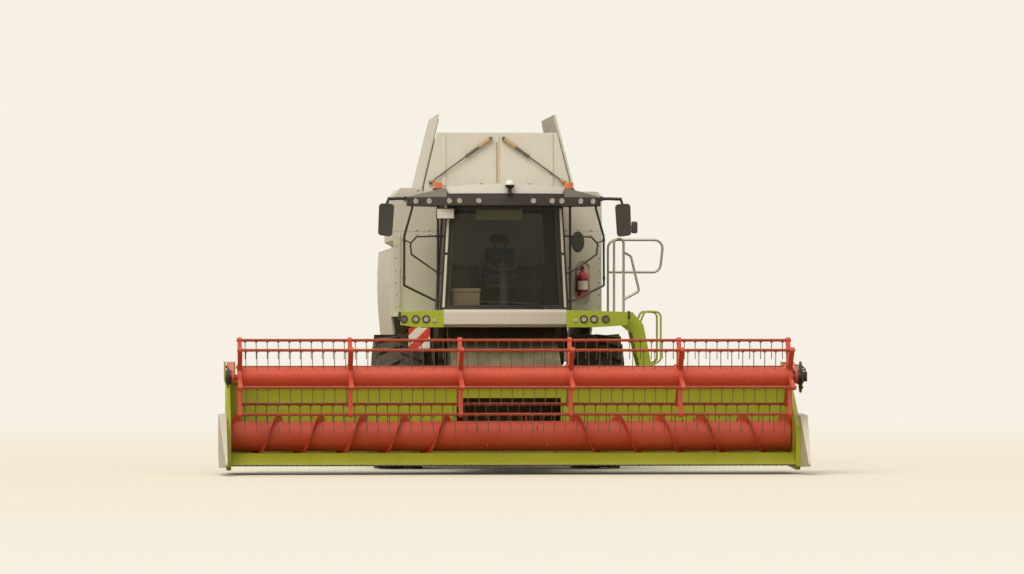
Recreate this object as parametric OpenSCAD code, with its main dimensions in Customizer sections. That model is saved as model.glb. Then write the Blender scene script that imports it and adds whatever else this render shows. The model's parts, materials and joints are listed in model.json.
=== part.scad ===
// Combine harvester with a wide grain header, parked on its wheels with the header just off the ground.
// Lengths are millimetres. Every module is drawn in the axle frame: x to the machine's left,
// y to the rear from the front axle, z up from the ground. placed() moves it to the middle of the length.

/* [Wheels] */
// Outer diameter of the front tyres, over the lugs
front_tyre_d = 1860; // [1700:10:1900]
// Width of the front tyres
front_tyre_w = 710; // [600:10:720]
// Distance between the middles of the front tyres
front_track = 2730; // [2700:10:2900]
// Diameter of the front rims
front_rim_d = 860; // [760:10:900]
// Outer diameter of the rear tyres, over the lugs
rear_tyre_d = 1320; // [1200:10:1340]
// Width of the rear tyres
rear_tyre_w = 480; // [400:10:500]
// Distance between the middles of the rear tyres
rear_track = 2520; // [2500:10:2700]
// Diameter of the rear rims
rear_rim_d = 620; // [560:10:660]
// Distance from the front axle to the rear axle
wheelbase = 3750; // [3700:10:3800]
// Distance of each kingpin from the middle
kingpin_x = 930; // [900:10:940]
// Height of the tread lugs
lug_h = 45; // [30:5:55]
// Number of lugs on each half of a front tyre
front_lugs = 20; // [16:1:22]
// Number of lugs on each half of a rear tyre
rear_lugs = 18; // [14:1:20]

/* [Body] */
// Half the width of the body over its side walls
body_half = 1440; // [1430:10:1500]
// Half the width of the threshing housing
housing_half = 850; // [800:10:860]
// Height of the top of the threshing housing
housing_top = 2200; // [2190:10:2220]
// Half the width of the grain tank above its shoulders
tank_half = 1060; // [1030:10:1080]
// Height of the grain tank's rim
rim_z = 3830; // [3810:10:3900]
// Height of the body's shoulders
shoulder_z = 3100; // [3080:10:3140]
// Front face of the grain tank
tank_front = -150; // [-160:10:-140]
// Rear face of the grain tank
tank_rear = 2750; // [2700:10:2800]
// Rear face of the engine hood
hood_rear = 4700; // [4650:10:4740]
// Rearmost point of the rear hood
tail_y = 5950; // [5900:10:6100]
// Thickness of the body's walls
wall = 30; // [20:5:40]

/* [Grain tank flaps] */
// Length of the side flaps from hinge to tip
side_flap_l = 1085; // [900:5:1090]
// Inward lean of the side flaps when open
side_flap_lean = 13.6; // [10:0.1:16]
// Length of the front and rear flaps from hinge to tip
end_flap_l = 995; // [900:5:1050]
// Lean of the front and rear flaps when open
end_flap_lean = 8; // [6:0.5:12]
// Thickness of the flaps
flap_t = 30; // [20:5:35]

/* [Side panels] */
// Radius of the side panels' bulge
panel_r = 6000; // [5000:100:8000]
// Height at which the side panels bulge most
panel_belly = 2600; // [2400:10:2800]
// Front edge of the side panels
panel_front = 1020; // [1015:5:1100]
// Rear edge of the side panels
panel_rear = 5050; // [4900:10:5060]
// Height of the side panels' top edge
panel_top = 3050; // [3000:10:3060]

/* [Cab] */
// Height of the cab floor's upper face
floor_z = 2180; // [2175:5:2190]
// Half the width of the cab at the floor
cab_half = 880; // [860:5:890]
// Half the width of the cab at the roof
cab_top_half = 795; // [780:5:820]
// Height of the cab under the roof
cab_top = 3600; // [3550:10:3620]
// Rear face of the cab
cab_rear = -280; // [-300:10:-270]
// Foremost point of the windscreen
screen_front = -1750; // [-1800:10:-1700]
// Radius of the windscreen in plan
screen_r = 1900; // [1800:50:2400]
// Thickness of the cab's walls and doors
cab_wall = 50; // [40:5:60]
// Half the width of the roof over its wings
roof_half = 1315; // [1250:5:1350]
// Height of the roof's front fascia
fascia_h = 160; // [120:10:180]
// Length of the door along the cab
door_l = 920; // [850:10:950]

/* [Platform] */
// Outer edge of the platform
deck_x = 1650; // [1600:10:1700]
// Height of the platform
deck_z = 2160; // [2150:5:2170]
// Diameter of the platform's rails
rail_d = 34; // [25:1:40]
// Width of the ladder
ladder_w = 560; // [450:10:600]
// Number of ladder rungs
rungs = 5; // [4:1:6]

/* [Feeder house] */
// Height of the feeder's pivot
feeder_z = 1620; // [1600:10:1640]
// Distance of the feeder's pivot in front of the axle
feeder_y = 700; // [690:10:720]
// Half the width of the feeder house
feeder_half = 740; // [700:10:750]

/* [Header] */
// Width of the header between its end walls
header_w = 7500; // [7000:50:7600]
// Rear face of the header's back wall
header_rear = -2420; // [-2430:5:-2410]
// Height of the header's back wall
header_h = 1220; // [1150:10:1250]
// Distance of the intake auger in front of the front axle
auger_y = 2950; // [2940:10:2960]
// Height of the intake auger
auger_z = 500; // [490:10:520]
// Diameter of the intake auger's tube
auger_tube_d = 400; // [350:10:420]
// Diameter over the intake auger's flights
auger_d = 610; // [560:10:640]
// Pitch of the intake auger's flights
auger_pitch = 560; // [450:10:640]
// Distance of the divider tips in front of the front axle
tip_y = 4550; // [4400:10:4700]
// Number of knife guard fingers
fingers = 98; // [80:2:100]

/* [Reel] */
// Distance of the reel's axis in front of the front axle
reel_y = 3750; // [3740:10:3780]
// Height of the reel's axis
reel_z = 1290; // [1280:10:1320]
// Radius of the circle of tine bars
reel_r = 504; // [480:2:520]
// Diameter of the reel's centre tube
reel_tube_d = 260; // [220:10:270]
// Number of reel sections
sections = 5; // [4:1:6]
// Distance of the outer reel stars from the header's end walls
reel_gap = 120; // [110:5:160]
// Diameter of the tine bars
bar_d = 38; // [30:1:44]
// Length of the tines
tine_l = 250; // [200:10:280]
// Number of tines in a section
tines = 10; // [8:1:12]

/* [Hidden] */
$fn = 48;

// Clearance between pieces that sit on each other
seat = 0.3;
// Clearance between pieces that pass each other
pass = 8;
tailboard_l = 200;
mid_y = (tail_y + tailboard_l - tip_y) / 2;

cream = [0.87, 0.85, 0.76];
green = [0.6, 0.75, 0.1];
red = [0.85, 0.25, 0.12];
dark = [0.2, 0.2, 0.22];
steel = [0.7, 0.7, 0.72];
rubber = [0.12, 0.12, 0.12];
glass = [0.6, 0.7, 0.75];

function unit(v) = v / norm(v);
function corner_arc(a, p, b, r, n) =
  let (u = unit(a - p), v = unit(b - p), half = acos(u * v) / 2, t = r / tan(half),
       c = p + unit(u + v) * (r / sin(half)), s = p + u * t, e = p + v * t)
  [for (i = [0:n]) let (k = i / n) c + unit((s - c) * (1 - k) + (e - c) * k) * r];
// An open path with its inner corners rounded
function rounded_path(pts, r, n = 4) = concat([pts[0]],
  [for (i = [1:len(pts) - 2]) each corner_arc(pts[i - 1], pts[i], pts[i + 1], r, n)],
  [pts[len(pts) - 1]]);
// A closed outline with every corner rounded
function rounded_ring(pts, r, n = 4) = let (m = len(pts))
  [for (i = [0:m - 1]) each corner_arc(pts[(i + m - 1) % m], pts[i], pts[(i + 1) % m], r, n)];
function mirrored(pts) = concat(pts, [for (i = [len(pts) - 1:-1:0]) [-pts[i][0], pts[i][1]]]);
function arc(c, r, a0, a1, n) = [for (i = [0:n]) let (a = a0 + (a1 - a0) * i / n) c + r * [cos(a), sin(a)]];

module placed() translate([0, -mid_y, 0]) children();
// Outline in (y, z), extruded along x
module along_x(x0, len) translate([x0, 0, 0]) rotate([90, 0, 90]) linear_extrude(len) children();
// Outline in (x, z), extruded along y
module along_y(y0, len) translate([0, y0 + len, 0]) rotate([90, 0, 0]) linear_extrude(len) children();
module box(lo, hi) translate(lo) cube(hi - lo);
module both_sides() for (s = [-1, 1]) scale_side(s) children();
module scale_side(s) if (s > 0) children(); else mirror([1, 0, 0]) children();
// A solid of revolution about the x axis through (y, z)
module about_x(y, z) translate([0, y, z]) rotate([0, 90, 0]) children();
// A rod between two points
module rod(a, b, d) let (v = b - a, l = norm(v))
  translate(a) rotate([0, acos(v[2] / l), atan2(v[1], v[0])]) cylinder(h = l, d = d);

// A tube swept along a path; side keeps its cross-section level
module pipe(pts, d, up = [0, 0, 1], sides = 8) {
  n = len(pts);
  dirs = [for (i = [0:n - 2]) unit(pts[i + 1] - pts[i])];
  rings = [for (i = [0:n - 1])
    let (a = dirs[max(i - 1, 0)], b = dirs[min(i, n - 2)], t = unit(a + b), s = unit(cross(t, up)),
         w = cross(s, t))
    for (k = [0:sides - 1]) let (q = 360 * k / sides) pts[i] + (s * cos(q) + w * sin(q)) * d / 2];
  skin = [for (i = [0:n - 2]) for (k = [0:sides - 1]) let (m = (k + 1) % sides)
    [i * sides + k, i * sides + m, (i + 1) * sides + m, (i + 1) * sides + k]];
  polyhedron(rings, concat(skin, [[for (k = [sides - 1:-1:0]) k],
    [for (k = [0:sides - 1]) (n - 1) * sides + k]]));
}

// Wheels

front_x = front_track / 2;
front_z = front_tyre_d / 2;
rear_x = rear_track / 2;
rear_z = rear_tyre_d / 2;
hub_flange_x = 1150;
rear_flange_x = 1130;
rim_t = 20;

function tyre_outline(d, w, rim_d) = let (r = d / 2, b = rim_d / 2 + seat) concat(
  [[b, -w * 0.41]], rounded_path([[b + 5, -w * 0.415], [b + 50, -w * 0.42], [r - 0.26 * (r - b), -w / 2],
    [r, -w * 0.44], [r, w * 0.44], [r - 0.26 * (r - b), w / 2], [b + 50, w * 0.42], [b + 5, w * 0.415]], 25, 3),
  [[b, w * 0.41], [b + 12, w * 0.3], [b + 12, -w * 0.3]]);

// Slanted lugs of one half of the tread, from its middle to its shoulder. Their flat tops lie a little
// inside the tyre's radius r, which their corners reach, one of them straight below the axle
module lug_half(r, w, n) {
  e = 0.18 * w;
  low = r - lug_h - 60;
  for (i = [0:n - 1]) rotate(360 * i / n - asin(e / r)) along_x(low, sqrt(r * r - e * e) - low)
    polygon([[-e, -8], [-e + 0.09 * w, -8], [e, 0.47 * w], [e - 0.115 * w, 0.47 * w]]);
}
module tyre(x, y, d, w, rim_d, lugs, side) color(rubber) translate([side * x, y, d / 2]) rotate([0, 90, 0]) {
  rotate_extrude($fn = 96) polygon(tyre_outline(d - 2 * lug_h, w, rim_d));
  lug_half(d / 2, w, lugs);
  mirror([0, 0, 1]) rotate(180 / lugs) lug_half(d / 2, w, lugs);
}

// The rim's barrel and its disc, whose inner face seats on the hub's flange at flange_x
module rim(x, y, z, w, rim_d, flange_x, pilot_r, side) {
  r = rim_d / 2;
  disc = flange_x + seat - x;
  color(cream) translate([side * x, y, z]) rotate([0, 90 * side, 0]) rotate_extrude($fn = 96)
    polygon([[r + 22, -w * 0.46], [r + 22, -w * 0.43], [r, -w * 0.42], [r, w * 0.42], [r + 22, w * 0.43],
      [r + 22, w * 0.46], [r - 18, w * 0.44], [r - 18, disc + rim_t + 60], [r - 70, disc + rim_t],
      [pilot_r + seat, disc + rim_t], [pilot_r + seat, disc], [r - 60, disc], [r - 18, disc + 40],
      [r - 18, -w * 0.44]]);
}

axle_pilot_r = 110;
rear_pilot_r = 70;
module front_tyre(side) tyre(front_x, 0, front_tyre_d, front_tyre_w, front_rim_d, front_lugs, side);
module front_rim(side)
  rim(front_x, 0, front_z, front_tyre_w, front_rim_d, hub_flange_x, axle_pilot_r, side);
module rear_tyre(side) tyre(rear_x, wheelbase, rear_tyre_d, rear_tyre_w, rear_rim_d, rear_lugs, side);
module rear_rim(side)
  rim(rear_x, wheelbase, rear_z, rear_tyre_w, rear_rim_d, rear_flange_x, rear_pilot_r, side);

// Axles

rail_in = housing_half;
rail_out = housing_half + 100;
rail_z = 1160;
rail_h = 160;
rear_rail_z = 1420;
rod_eye = [-1750, 450];
lift_x = 550;
lift_pin_r = 22;

module lift_cylinder() {
  base = [-250, 620];
  dir = unit(rod_eye - base);
  joint = base + dir * 900;
  tip = rod_eye - dir * (lift_pin_r + seat + 2);
  rod([lift_x, base[0], base[1]], [lift_x, joint[0], joint[1]], 110);
  difference() {
    union() {
      rod([lift_x, joint[0], joint[1]], [lift_x, tip[0], tip[1]], 60);
      translate([lift_x - 35, rod_eye[0], rod_eye[1]]) rotate([0, 90, 0]) cylinder(h = 70, r = 52);
    }
    translate([lift_x - 40, rod_eye[0], rod_eye[1]]) rotate([0, 90, 0]) cylinder(h = 80, r = lift_pin_r + seat);
    // The cup is open to the front and above, where the pin lifts out
    translate([lift_x, rod_eye[0], rod_eye[1]]) rotate([45, 0, 0]) translate([-50, -100, 0])
      cube([100, 200, 100]);
  }
}

module front_axle() color(dark) {
  about_x(0, front_z) translate([0, 0, -950]) cylinder(h = 1900, r = 130);
  box([-260, -210, front_z - 180], [260, 210, 1140]);
  both_sides() {
    about_x(0, front_z) translate([0, 0, rail_in]) cylinder(h = 150, r = 220);
    about_x(0, front_z) translate([0, 0, 1000]) cylinder(h = hub_flange_x - 1000, r = 200);
    about_x(0, front_z) translate([0, 0, 1000]) cylinder(h = hub_flange_x + 60 - 1000, r = axle_pilot_r);
    box([rail_in, -170, front_z], [rail_out, 170, rail_z]);
    // The lift cylinder hangs on a clevis plate under the axle tube
    along_x(lift_x - 80, 40) polygon([[-120, front_z], [60, front_z], [-170, 540], [-330, 540], [-330, 680]]);
    along_x(lift_x + 40, 40) polygon([[-120, front_z], [60, front_z], [-170, 540], [-330, 540], [-330, 680]]);
    translate([lift_x - 80, -250, 620]) rotate([0, 90, 0]) cylinder(h = 160, r = 24);
    lift_cylinder();
  }
}

beam_z = rear_z - 100;
beam_h = 200;
boss_r = 85;
// Length of the beam's level end, under which the steering arm swings
beam_level = 270;
kingpin_r = 36;

module rear_axle() color(dark) difference() {
  union() {
    along_y(wheelbase - 100, 200) polygon(mirrored([[0, beam_z - 40], [300, beam_z - 40], [kingpin_x - beam_level, beam_z],
      [kingpin_x, beam_z], [kingpin_x, beam_z + beam_h], [kingpin_x - beam_level, beam_z + beam_h],
      [300, beam_z + beam_h + 60], [0, beam_z + beam_h + 60]]));
    along_y(wheelbase - 150, 300) polygon(mirrored([[0, rear_z], [230, rear_z], [300, rear_rail_z], [0, rear_rail_z]]));
    both_sides() translate([kingpin_x, wheelbase, beam_z]) cylinder(h = beam_h, r = boss_r);
  }
  both_sides() translate([kingpin_x, wheelbase, beam_z - 50]) cylinder(h = beam_h + 100, r = kingpin_r + 0.5);
}

// The knuckle grips the beam's boss between two arms and carries the wheel's spindle
module knuckle(side) color(dark) scale_side(side) {
  arm_t = 45;
  lo = beam_z - seat - arm_t;
  hi = beam_z + beam_h + seat;
  post = kingpin_x + boss_r + 6;
  translate([kingpin_x, wheelbase, lo]) cylinder(h = hi + arm_t - lo, r = kingpin_r);
  for (z = [lo, hi]) {
    translate([kingpin_x, wheelbase, z]) cylinder(h = arm_t, r = 70);
    box([kingpin_x, wheelbase - 60, z], [post + 40, wheelbase + 60, z + arm_t]);
  }
  box([post, wheelbase - 60, lo], [post + 40, wheelbase + 60, hi + arm_t]);
  about_x(wheelbase, rear_z) translate([0, 0, post]) cylinder(h = rear_flange_x - post, r = 95);
  about_x(wheelbase, rear_z) translate([0, 0, post]) cylinder(h = rear_flange_x + 50 - post, r = rear_pilot_r);
  // Steering arm to the rear
  translate([0, 0, lo]) linear_extrude(arm_t) polygon([[kingpin_x - 40, wheelbase], [kingpin_x + 40, wheelbase],
    [kingpin_x - 60, wheelbase + 220], [kingpin_x - 120, wheelbase + 220]]);
}

// Frame and body

hitch_y = 5080;
hitch_z = 900;
hitch_t = 60;
hitch_r = 19;
module chassis_frame() color(dark) {
  both_sides() along_x(rail_in, rail_out - rail_in) polygon([[-550, rail_z], [2550, rail_z], [2950, rear_rail_z],
    [4950, rear_rail_z], [4950, rear_rail_z + 150], [2850, rear_rail_z + 150], [2450, rail_z + rail_h],
    [-550, rail_z + rail_h]]);
  box([-rail_in, 4850, rear_rail_z + 10], [rail_in, 4950, rear_rail_z + 100]);
  // Tow hitch
  difference() {
    union() {
      box([-90, 4890, hitch_z - 60], [90, 4950, rear_rail_z + 10]);
      box([-70, 4950, hitch_z - hitch_t / 2], [70, hitch_y + 50, hitch_z + hitch_t / 2]);
    }
    translate([0, hitch_y, hitch_z - hitch_t]) cylinder(h = 2 * hitch_t, r = hitch_r);
  }
}

pivot_r = 60;
recess_r = 430;
housing_rear = tail_y - 800;
housing_low = 760;
module threshing_housing() color(cream) difference() {
  union() {
    along_x(-housing_half, 2 * housing_half) polygon([[-620, 1300], [-620, floor_z - 80], [-200, floor_z - 80],
      [-200, housing_top], [housing_rear, housing_top], [housing_rear, 1800], [housing_rear - 500, rear_rail_z],
      [wheelbase - 800, rear_rail_z], [wheelbase - 1300, housing_low], [800, housing_low], [560, 1150],
      [-300, 1150]]);
    both_sides() along_x(feeder_half + 20, housing_half - feeder_half - 20)
      polygon(concat([[-600, feeder_z + 160], [-600, feeder_z - 160]],
        arc([-feeder_y, feeder_z], 120, 250, 110, 8)));
  }
  translate([-feeder_half - 20, -feeder_y, feeder_z]) rotate([0, 90, 0])
    cylinder(h = 2 * feeder_half + 40, r = recess_r, $fn = 96);
  translate([-housing_half - 10, -feeder_y, feeder_z]) rotate([0, 90, 0])
    cylinder(h = 2 * housing_half + 20, r = pivot_r + 0.5);
}

// Pulleys by side: side, y, z, radius
pulley_table = [[1, 900, 1850, 240], [1, 1500, 1750, 330], [1, 2650, 1880, 200], [1, 4300, 1850, 260],
  [-1, 1000, 1800, 280], [-1, 1750, 1900, 180], [-1, 3000, 1850, 300], [-1, 4400, 1900, 200]];
pulley_x = 960;
pulley_w = 70;

groove = 25;
// Outline of an open belt at radius r1 on one pulley and r2 on the other
function belt_line(c1, r1, c2, r2, n = 20) = let (v = c2 - c1, a = atan2(v[1], v[0]), b = acos((r1 - r2) / norm(v)))
  concat(arc(c1, r1, a + b, a + 360 - b, n), arc(c2, r2, a - b, a + b, n));
// The belt runs in the grooves and is sunk a little into their floors
module belt(p, q) scale_side(p[0]) along_x(pulley_x + groove, pulley_w - 2 * groove) difference() {
  polygon(belt_line([p[1], p[2]], p[3] - 6, [q[1], q[2]], q[3] - 6));
  polygon(belt_line([p[1], p[2]], p[3] - groove - 3, [q[1], q[2]], q[3] - groove - 3));
}
module drive_pulleys() color(steel) {
  for (p = pulley_table) scale_side(p[0]) about_x(p[1], p[2]) {
    translate([0, 0, housing_half]) cylinder(h = pulley_x + pulley_w + 20 - housing_half, r = 32);
    translate([0, 0, pulley_x]) rotate_extrude() polygon([[30, 0], [p[3], 0], [p[3], 15], [p[3] - groove, groove],
      [p[3] - groove, pulley_w - groove], [p[3], pulley_w - 15], [p[3], pulley_w], [p[3] - 50, pulley_w],
      [p[3] - 60, pulley_w / 2], [60, pulley_w / 2], [60, pulley_w], [30, pulley_w]]);
  }
  for (i = [0:2:len(pulley_table) - 2]) belt(pulley_table[i], pulley_table[i + 1]);
}

core_half = body_half - 60;
shoulder_drop = 40;
// Half section of the upper body in (x, z): side wall, shoulder and upper wall
function shoulder_half(t, bottom, top) = [[core_half - t, bottom],
  [core_half - t, shoulder_z - shoulder_drop - t], [core_half - 50 - t, shoulder_z - t],
  [tank_half - t, shoulder_z - t], [tank_half - t, top]];
panel_hinge_x = body_half - panel_r + sqrt(panel_r * panel_r - pow(panel_top - panel_belly, 2));
// Rail under which the side panels hang, grooved for their hinge barrels
panel_barrel_r = 14;
module panel_rail(y0, y1) both_sides() difference() {
  box([core_half - wall / 2, y0, panel_top + seat], [panel_hinge_x, y1, shoulder_z - shoulder_drop]);
  translate([panel_hinge_x, y0 - 1, panel_top]) rotate([-90, 0, 0]) cylinder(h = y1 - y0 + 2, r = panel_barrel_r + 2);
}

niche_x = 1172;
niche_z = 2565;
niche_w = 200;
niche_h = 600;
niche_depth = 25;
front_wall = 40;
deck_t = 60;
hopper_z = 2230;
wall_seam_z = 3266;
module grain_tank() color(cream) difference() {
  union() {
    // Front wall
    along_y(tank_front, front_wall) polygon(mirrored([[0, housing_top], [housing_half + 1, housing_top],
      [housing_half + 1, deck_z - deck_t], [body_half, deck_z - deck_t], [body_half, rim_z - 60],
      [body_half - 60, rim_z], [0, rim_z]]));
    // Fixed side walls over the front wheels
    both_sides() box([core_half, tank_front + front_wall, deck_z - deck_t],
      [body_half, panel_front - 10, shoulder_z - shoulder_drop]);
    panel_rail(panel_front, tank_rear);
    // Hopper and upper walls
    difference() {
      along_y(tank_front + front_wall, tank_rear - tank_front - front_wall)
        polygon(mirrored(concat([[0, housing_top], [450, housing_top]], shoulder_half(0, 2850, rim_z))));
      along_y(tank_front + front_wall, tank_rear - tank_front - front_wall - wall)
        polygon(mirrored(concat([[0, hopper_z], [430, hopper_z]], shoulder_half(wall, 2870, rim_z + 10))));
    }
  }
  // Bores for the pins of the front and rear flaps
  for (y = [end_hinge_y, rear_hinge_y]) about_x(y, end_hinge_z) translate([0, 0, -tank_inner_half - 16])
    cylinder(h = 2 * tank_inner_half + 32, r = flap_pin_r + 0.5);
  // Seam between the sheets of the front wall
  box([-body_half - 1, tank_front - 1, wall_seam_z], [body_half + 1, tank_front + 3, wall_seam_z + 6]);
  // Niche for the extinguisher, with round ends
  along_y(tank_front - 1, niche_depth + 1) hull() for (z = [-1, 1])
    translate([niche_x, niche_z + z * (niche_h - niche_w) / 2]) circle(d = niche_w);
}

module filling_auger() color(steel) {
  // Cross auger cover on the hopper's floor
  along_y(700, 300) polygon([[-380, hopper_z], [380, hopper_z], [380, hopper_z + 60], [0, hopper_z + 200],
    [-380, hopper_z + 60]]);
  intersection() {
    rod([0, 2200, hopper_z - 190], [0, 1500, 3350], 300);
    box([-200, 1200, hopper_z], [200, 2500, 3600]);
  }
}

engine_front = 3000;
engine_rear = 4250;
module engine() color(dark) {
  box([-550, engine_front, 2350], [550, engine_rear, 3150]);
  for (x = [-450, 450]) for (y = [engine_front + 100, engine_rear - 100])
    box([x - 60, y - 60, housing_top], [x + 60, y + 60, 2350]);
}

hood_top = 3450;
louvres = 16;
louvre_pitch = 80;
module engine_hood() color(cream) difference() {
  union() {
    difference() {
      along_y(tank_rear + 5, hood_rear - tank_rear - 5)
        polygon(mirrored(concat([[0, housing_top]], shoulder_half(0, housing_top, hood_top - 60),
          [[tank_half - 60, hood_top], [0, hood_top]])));
      along_y(tank_rear, hood_rear - tank_rear - wall)
        polygon(mirrored(concat([[0, housing_top - 1]], shoulder_half(wall, housing_top - 1, hood_top - 70),
          [[tank_half - 80, hood_top - wall], [0, hood_top - wall]])));
    }
    panel_rail(tank_rear + 5, hood_rear);
    translate([-600, 3400, hood_top - 10]) cylinder(h = 330, r = 80);
    // Rest under the folded unloading auger
    box([chute_x - 60, 4300, shoulder_z - wall], [chute_x + 15, 4380, chute_z - chute_d / 2 - seat]);
    // Cover on the right shoulder
    difference() {
      along_y(320, tank_rear - 380) polygon([[-tank_half, shoulder_z], [-core_half + 50, shoulder_z],
        [-body_half, shoulder_z + 60], [-body_half, rim_z - 100],
        [-body_half + 120, rim_z + 60], [-tank_half - 50, rim_z + 60], [-tank_half - 50, rim_z - 10],
        [-tank_half, rim_z - 10]]);
      along_y(360, tank_rear - 460) polygon([[-tank_half - 1, shoulder_z + wall], [-core_half + 50, shoulder_z + wall],
        [-body_half + wall, shoulder_z + 70], [-body_half + wall, rim_z - 110],
        [-body_half + 130, rim_z + 60 - wall], [-tank_half - 50 - wall, rim_z + 60 - wall],
        [-tank_half - 50 - wall, rim_z - 10 - wall], [-tank_half - 1, rim_z - 10 - wall]]);
    }
  }
  translate([-600, 3400, hood_top - 60]) cylinder(h = 400, r = 60);
  // Louvres beside the engine
  both_sides() for (k = [0:louvres - 1])
    box([tank_half - wall - 10, engine_front + k * louvre_pitch, shoulder_z + 60],
      [tank_half + 10, engine_front + (k + 0.5) * louvre_pitch, hood_top - 90]);
}

// The rear hood's form, t inside its outer faces
module rear_hood_form(t) intersection() {
  along_y(hood_rear, 2000) polygon(mirrored(concat([[0, 1800]], shoulder_half(t, 1800, hood_top - 60 - t),
    [[tank_half - 60 - t, hood_top - t], [0, hood_top - t]])));
  along_x(-body_half, 2 * body_half) polygon(concat([[hood_rear + 5 + t, housing_top + t],
    [hood_rear + 5 + t, hood_top - 60 - t]],
    rounded_path([[hood_rear + 300, hood_top - 70 - t], [5400 - t / 2, 3300 - t], [5850 - t, 2700 - t / 2],
      [tail_y - t, 2150], [tail_y - t, hood_low + t]], 120, 4),
    [[chopper_front + t, hood_low + t], [chopper_front + t, housing_top + t]]));
  linear_extrude(4000) polygon([[-core_half + t, hood_rear], [core_half - t, hood_rear],
    [body_half - 290 - t, tail_y + 10], [-body_half + 290 + t, tail_y + 10]]);
}
hood_low = 1850;
chopper_front = housing_rear + 10;
chopper_half = 700;
module rear_hood() color(cream) difference() {
  rear_hood_form(0);
  rear_hood_form(wall);
  // Throat down into the chopper
  box([-chopper_half + wall, chopper_front + wall, hood_low - 10],
    [chopper_half - wall, tail_y - 160, hood_low + 60]);
}

// Radius, middle and tailboard height of the chopper's drum
chopper_r = 330;
chopper_y = chopper_front + 320;
chopper_z = 1400;
tailboard_z = 1050;
module straw_chopper() color(dark) difference() {
  union() {
    along_x(-chopper_half, 2 * chopper_half) polygon(concat(
      [[chopper_front, hood_low], [chopper_front, chopper_z + 240]],
      arc([chopper_y, chopper_z], chopper_r, 160, 300, 12),
      [[tail_y - 50, tailboard_z + 100], [tail_y + tailboard_l, tailboard_z],
      [tail_y + tailboard_l, tailboard_z + 60], [tail_y - 20, tailboard_z + 250], [tail_y - 130, hood_low]]));
    both_sides() about_x(chopper_y, chopper_z) translate([0, 0, chopper_half - 10]) cylinder(h = 60, r = 120);
  }
  along_x(-chopper_half + wall, 2 * (chopper_half - wall)) polygon(concat(
    [[chopper_front + wall, hood_low + 10], [chopper_front + wall, chopper_z + 200]],
    arc([chopper_y, chopper_z], chopper_r - wall, 160, 300, 12),
    [[tail_y - 80, tailboard_z + 130], [tail_y + tailboard_l + 10, tailboard_z + 25],
    [tail_y + tailboard_l + 10, tailboard_z + 35], [tail_y - 50, tailboard_z + 210], [tail_y - 160, hood_low + 10]]));
}

// Cab

cab_lean = atan((cab_half - cab_top_half) / (cab_top - floor_z));
screen_c = [0, screen_front + screen_r];
door_front = -1425;
door_rear = door_front + door_l;
sill = 25;
// The door's top stays this far under the cab's, as its free corner rises while it opens
door_drop = 55;

function cab_outline(inset) = mirrored([[0, floor_z], [cab_half - inset, floor_z], [cab_top_half - inset, cab_top],
  [0, cab_top]]);
module cab_solid(inset) intersection() {
  along_y(screen_front - 100, cab_rear - inset - screen_front + 100) polygon(cab_outline(inset));
  translate([0, screen_c[1], floor_z]) cylinder(h = cab_top - floor_z, r = screen_r - inset, $fn = 180);
}
// A prism through one side wall, its outline drawn in (y, z)
module side_prism(side, x0, x1) scale_side(side) along_x(x0, x1 - x0) children();
module door_outline(inset) polygon(rounded_ring([[door_front + inset, floor_z + sill + inset],
  [door_rear - inset, floor_z + sill + inset], [door_rear - inset, cab_top - door_drop - inset],
  [door_front + inset, cab_top - door_drop - inset]], 70));
module screen_outline(inset) polygon(rounded_ring([[-790 + inset, floor_z + 30 + inset],
  [790 - inset, floor_z + 30 + inset], [712 - inset, cab_top - 20 - inset],
  [-712 + inset, cab_top - 20 - inset]], 60));
module rear_window_outline(inset) polygon(rounded_ring([[-640 + inset, 2800 + inset], [640 - inset, 2800 + inset],
  [610 - inset, cab_top - 80 - inset], [-610 + inset, cab_top - 80 - inset]], 60));

module cab_floor() color(dark) intersection() {
  box([-cab_half, screen_front - 10, floor_z - 80], [cab_half, cab_rear, floor_z]);
  translate([0, screen_c[1], floor_z - 90]) cylinder(h = 100, r = screen_r, $fn = 180);
}

// The door's hinge line leans with the cab's side and stands clear of its face
hinge_off = 22;
hinge_pin_r = 8;
hinge_knuckle_r = 15;
hinge_h = 60;
hinge_places = [160, 1180];
module at_door_hinge() translate([cab_half, door_rear, floor_z]) rotate([0, -cab_lean, 0]) children();

module cab_frame() color(dark) {
  difference() {
    cab_solid(0);
    translate([0, 0, -1]) cab_solid(cab_wall);
    translate([0, 0, 1]) cab_solid(cab_wall);
    along_y(screen_front - 100, 500) screen_outline(0);
    side_prism(1, 600, 1000) door_outline(0);
    side_prism(-1, 600, 1000) door_outline(0);
    along_y(cab_rear - 200, 300) rear_window_outline(0);
  }
  at_door_hinge() for (z = hinge_places) {
    translate([hinge_off, 0, z - 30]) cylinder(h = hinge_h + 60, r = hinge_pin_r);
    for (lug = [z - 30, z + hinge_h + 1]) {
      translate([hinge_off, 0, lug]) cylinder(h = 29, r = hinge_knuckle_r);
      translate([-10, 4, lug]) cube([24, 56, 29]);
      translate([-10, 4, lug]) cube([10 + hinge_off, 8, 29]);
    }
  }
}

pane_t = 8;
module pane_shell(depth) difference() {
  cab_solid(depth);
  translate([0, 0, -1]) cab_solid(depth + pane_t);
  translate([0, 0, 1]) cab_solid(depth + pane_t);
}
module cab_glass() color(glass) {
  intersection() {
    pane_shell(10);
    along_y(screen_front - 100, 500) screen_outline(seat);
  }
  intersection() {
    pane_shell(10);
    side_prism(-1, 600, 1000) door_outline(seat);
  }
  intersection() {
    pane_shell(10);
    along_y(cab_rear - 200, 300) rear_window_outline(seat);
  }
}

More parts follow.
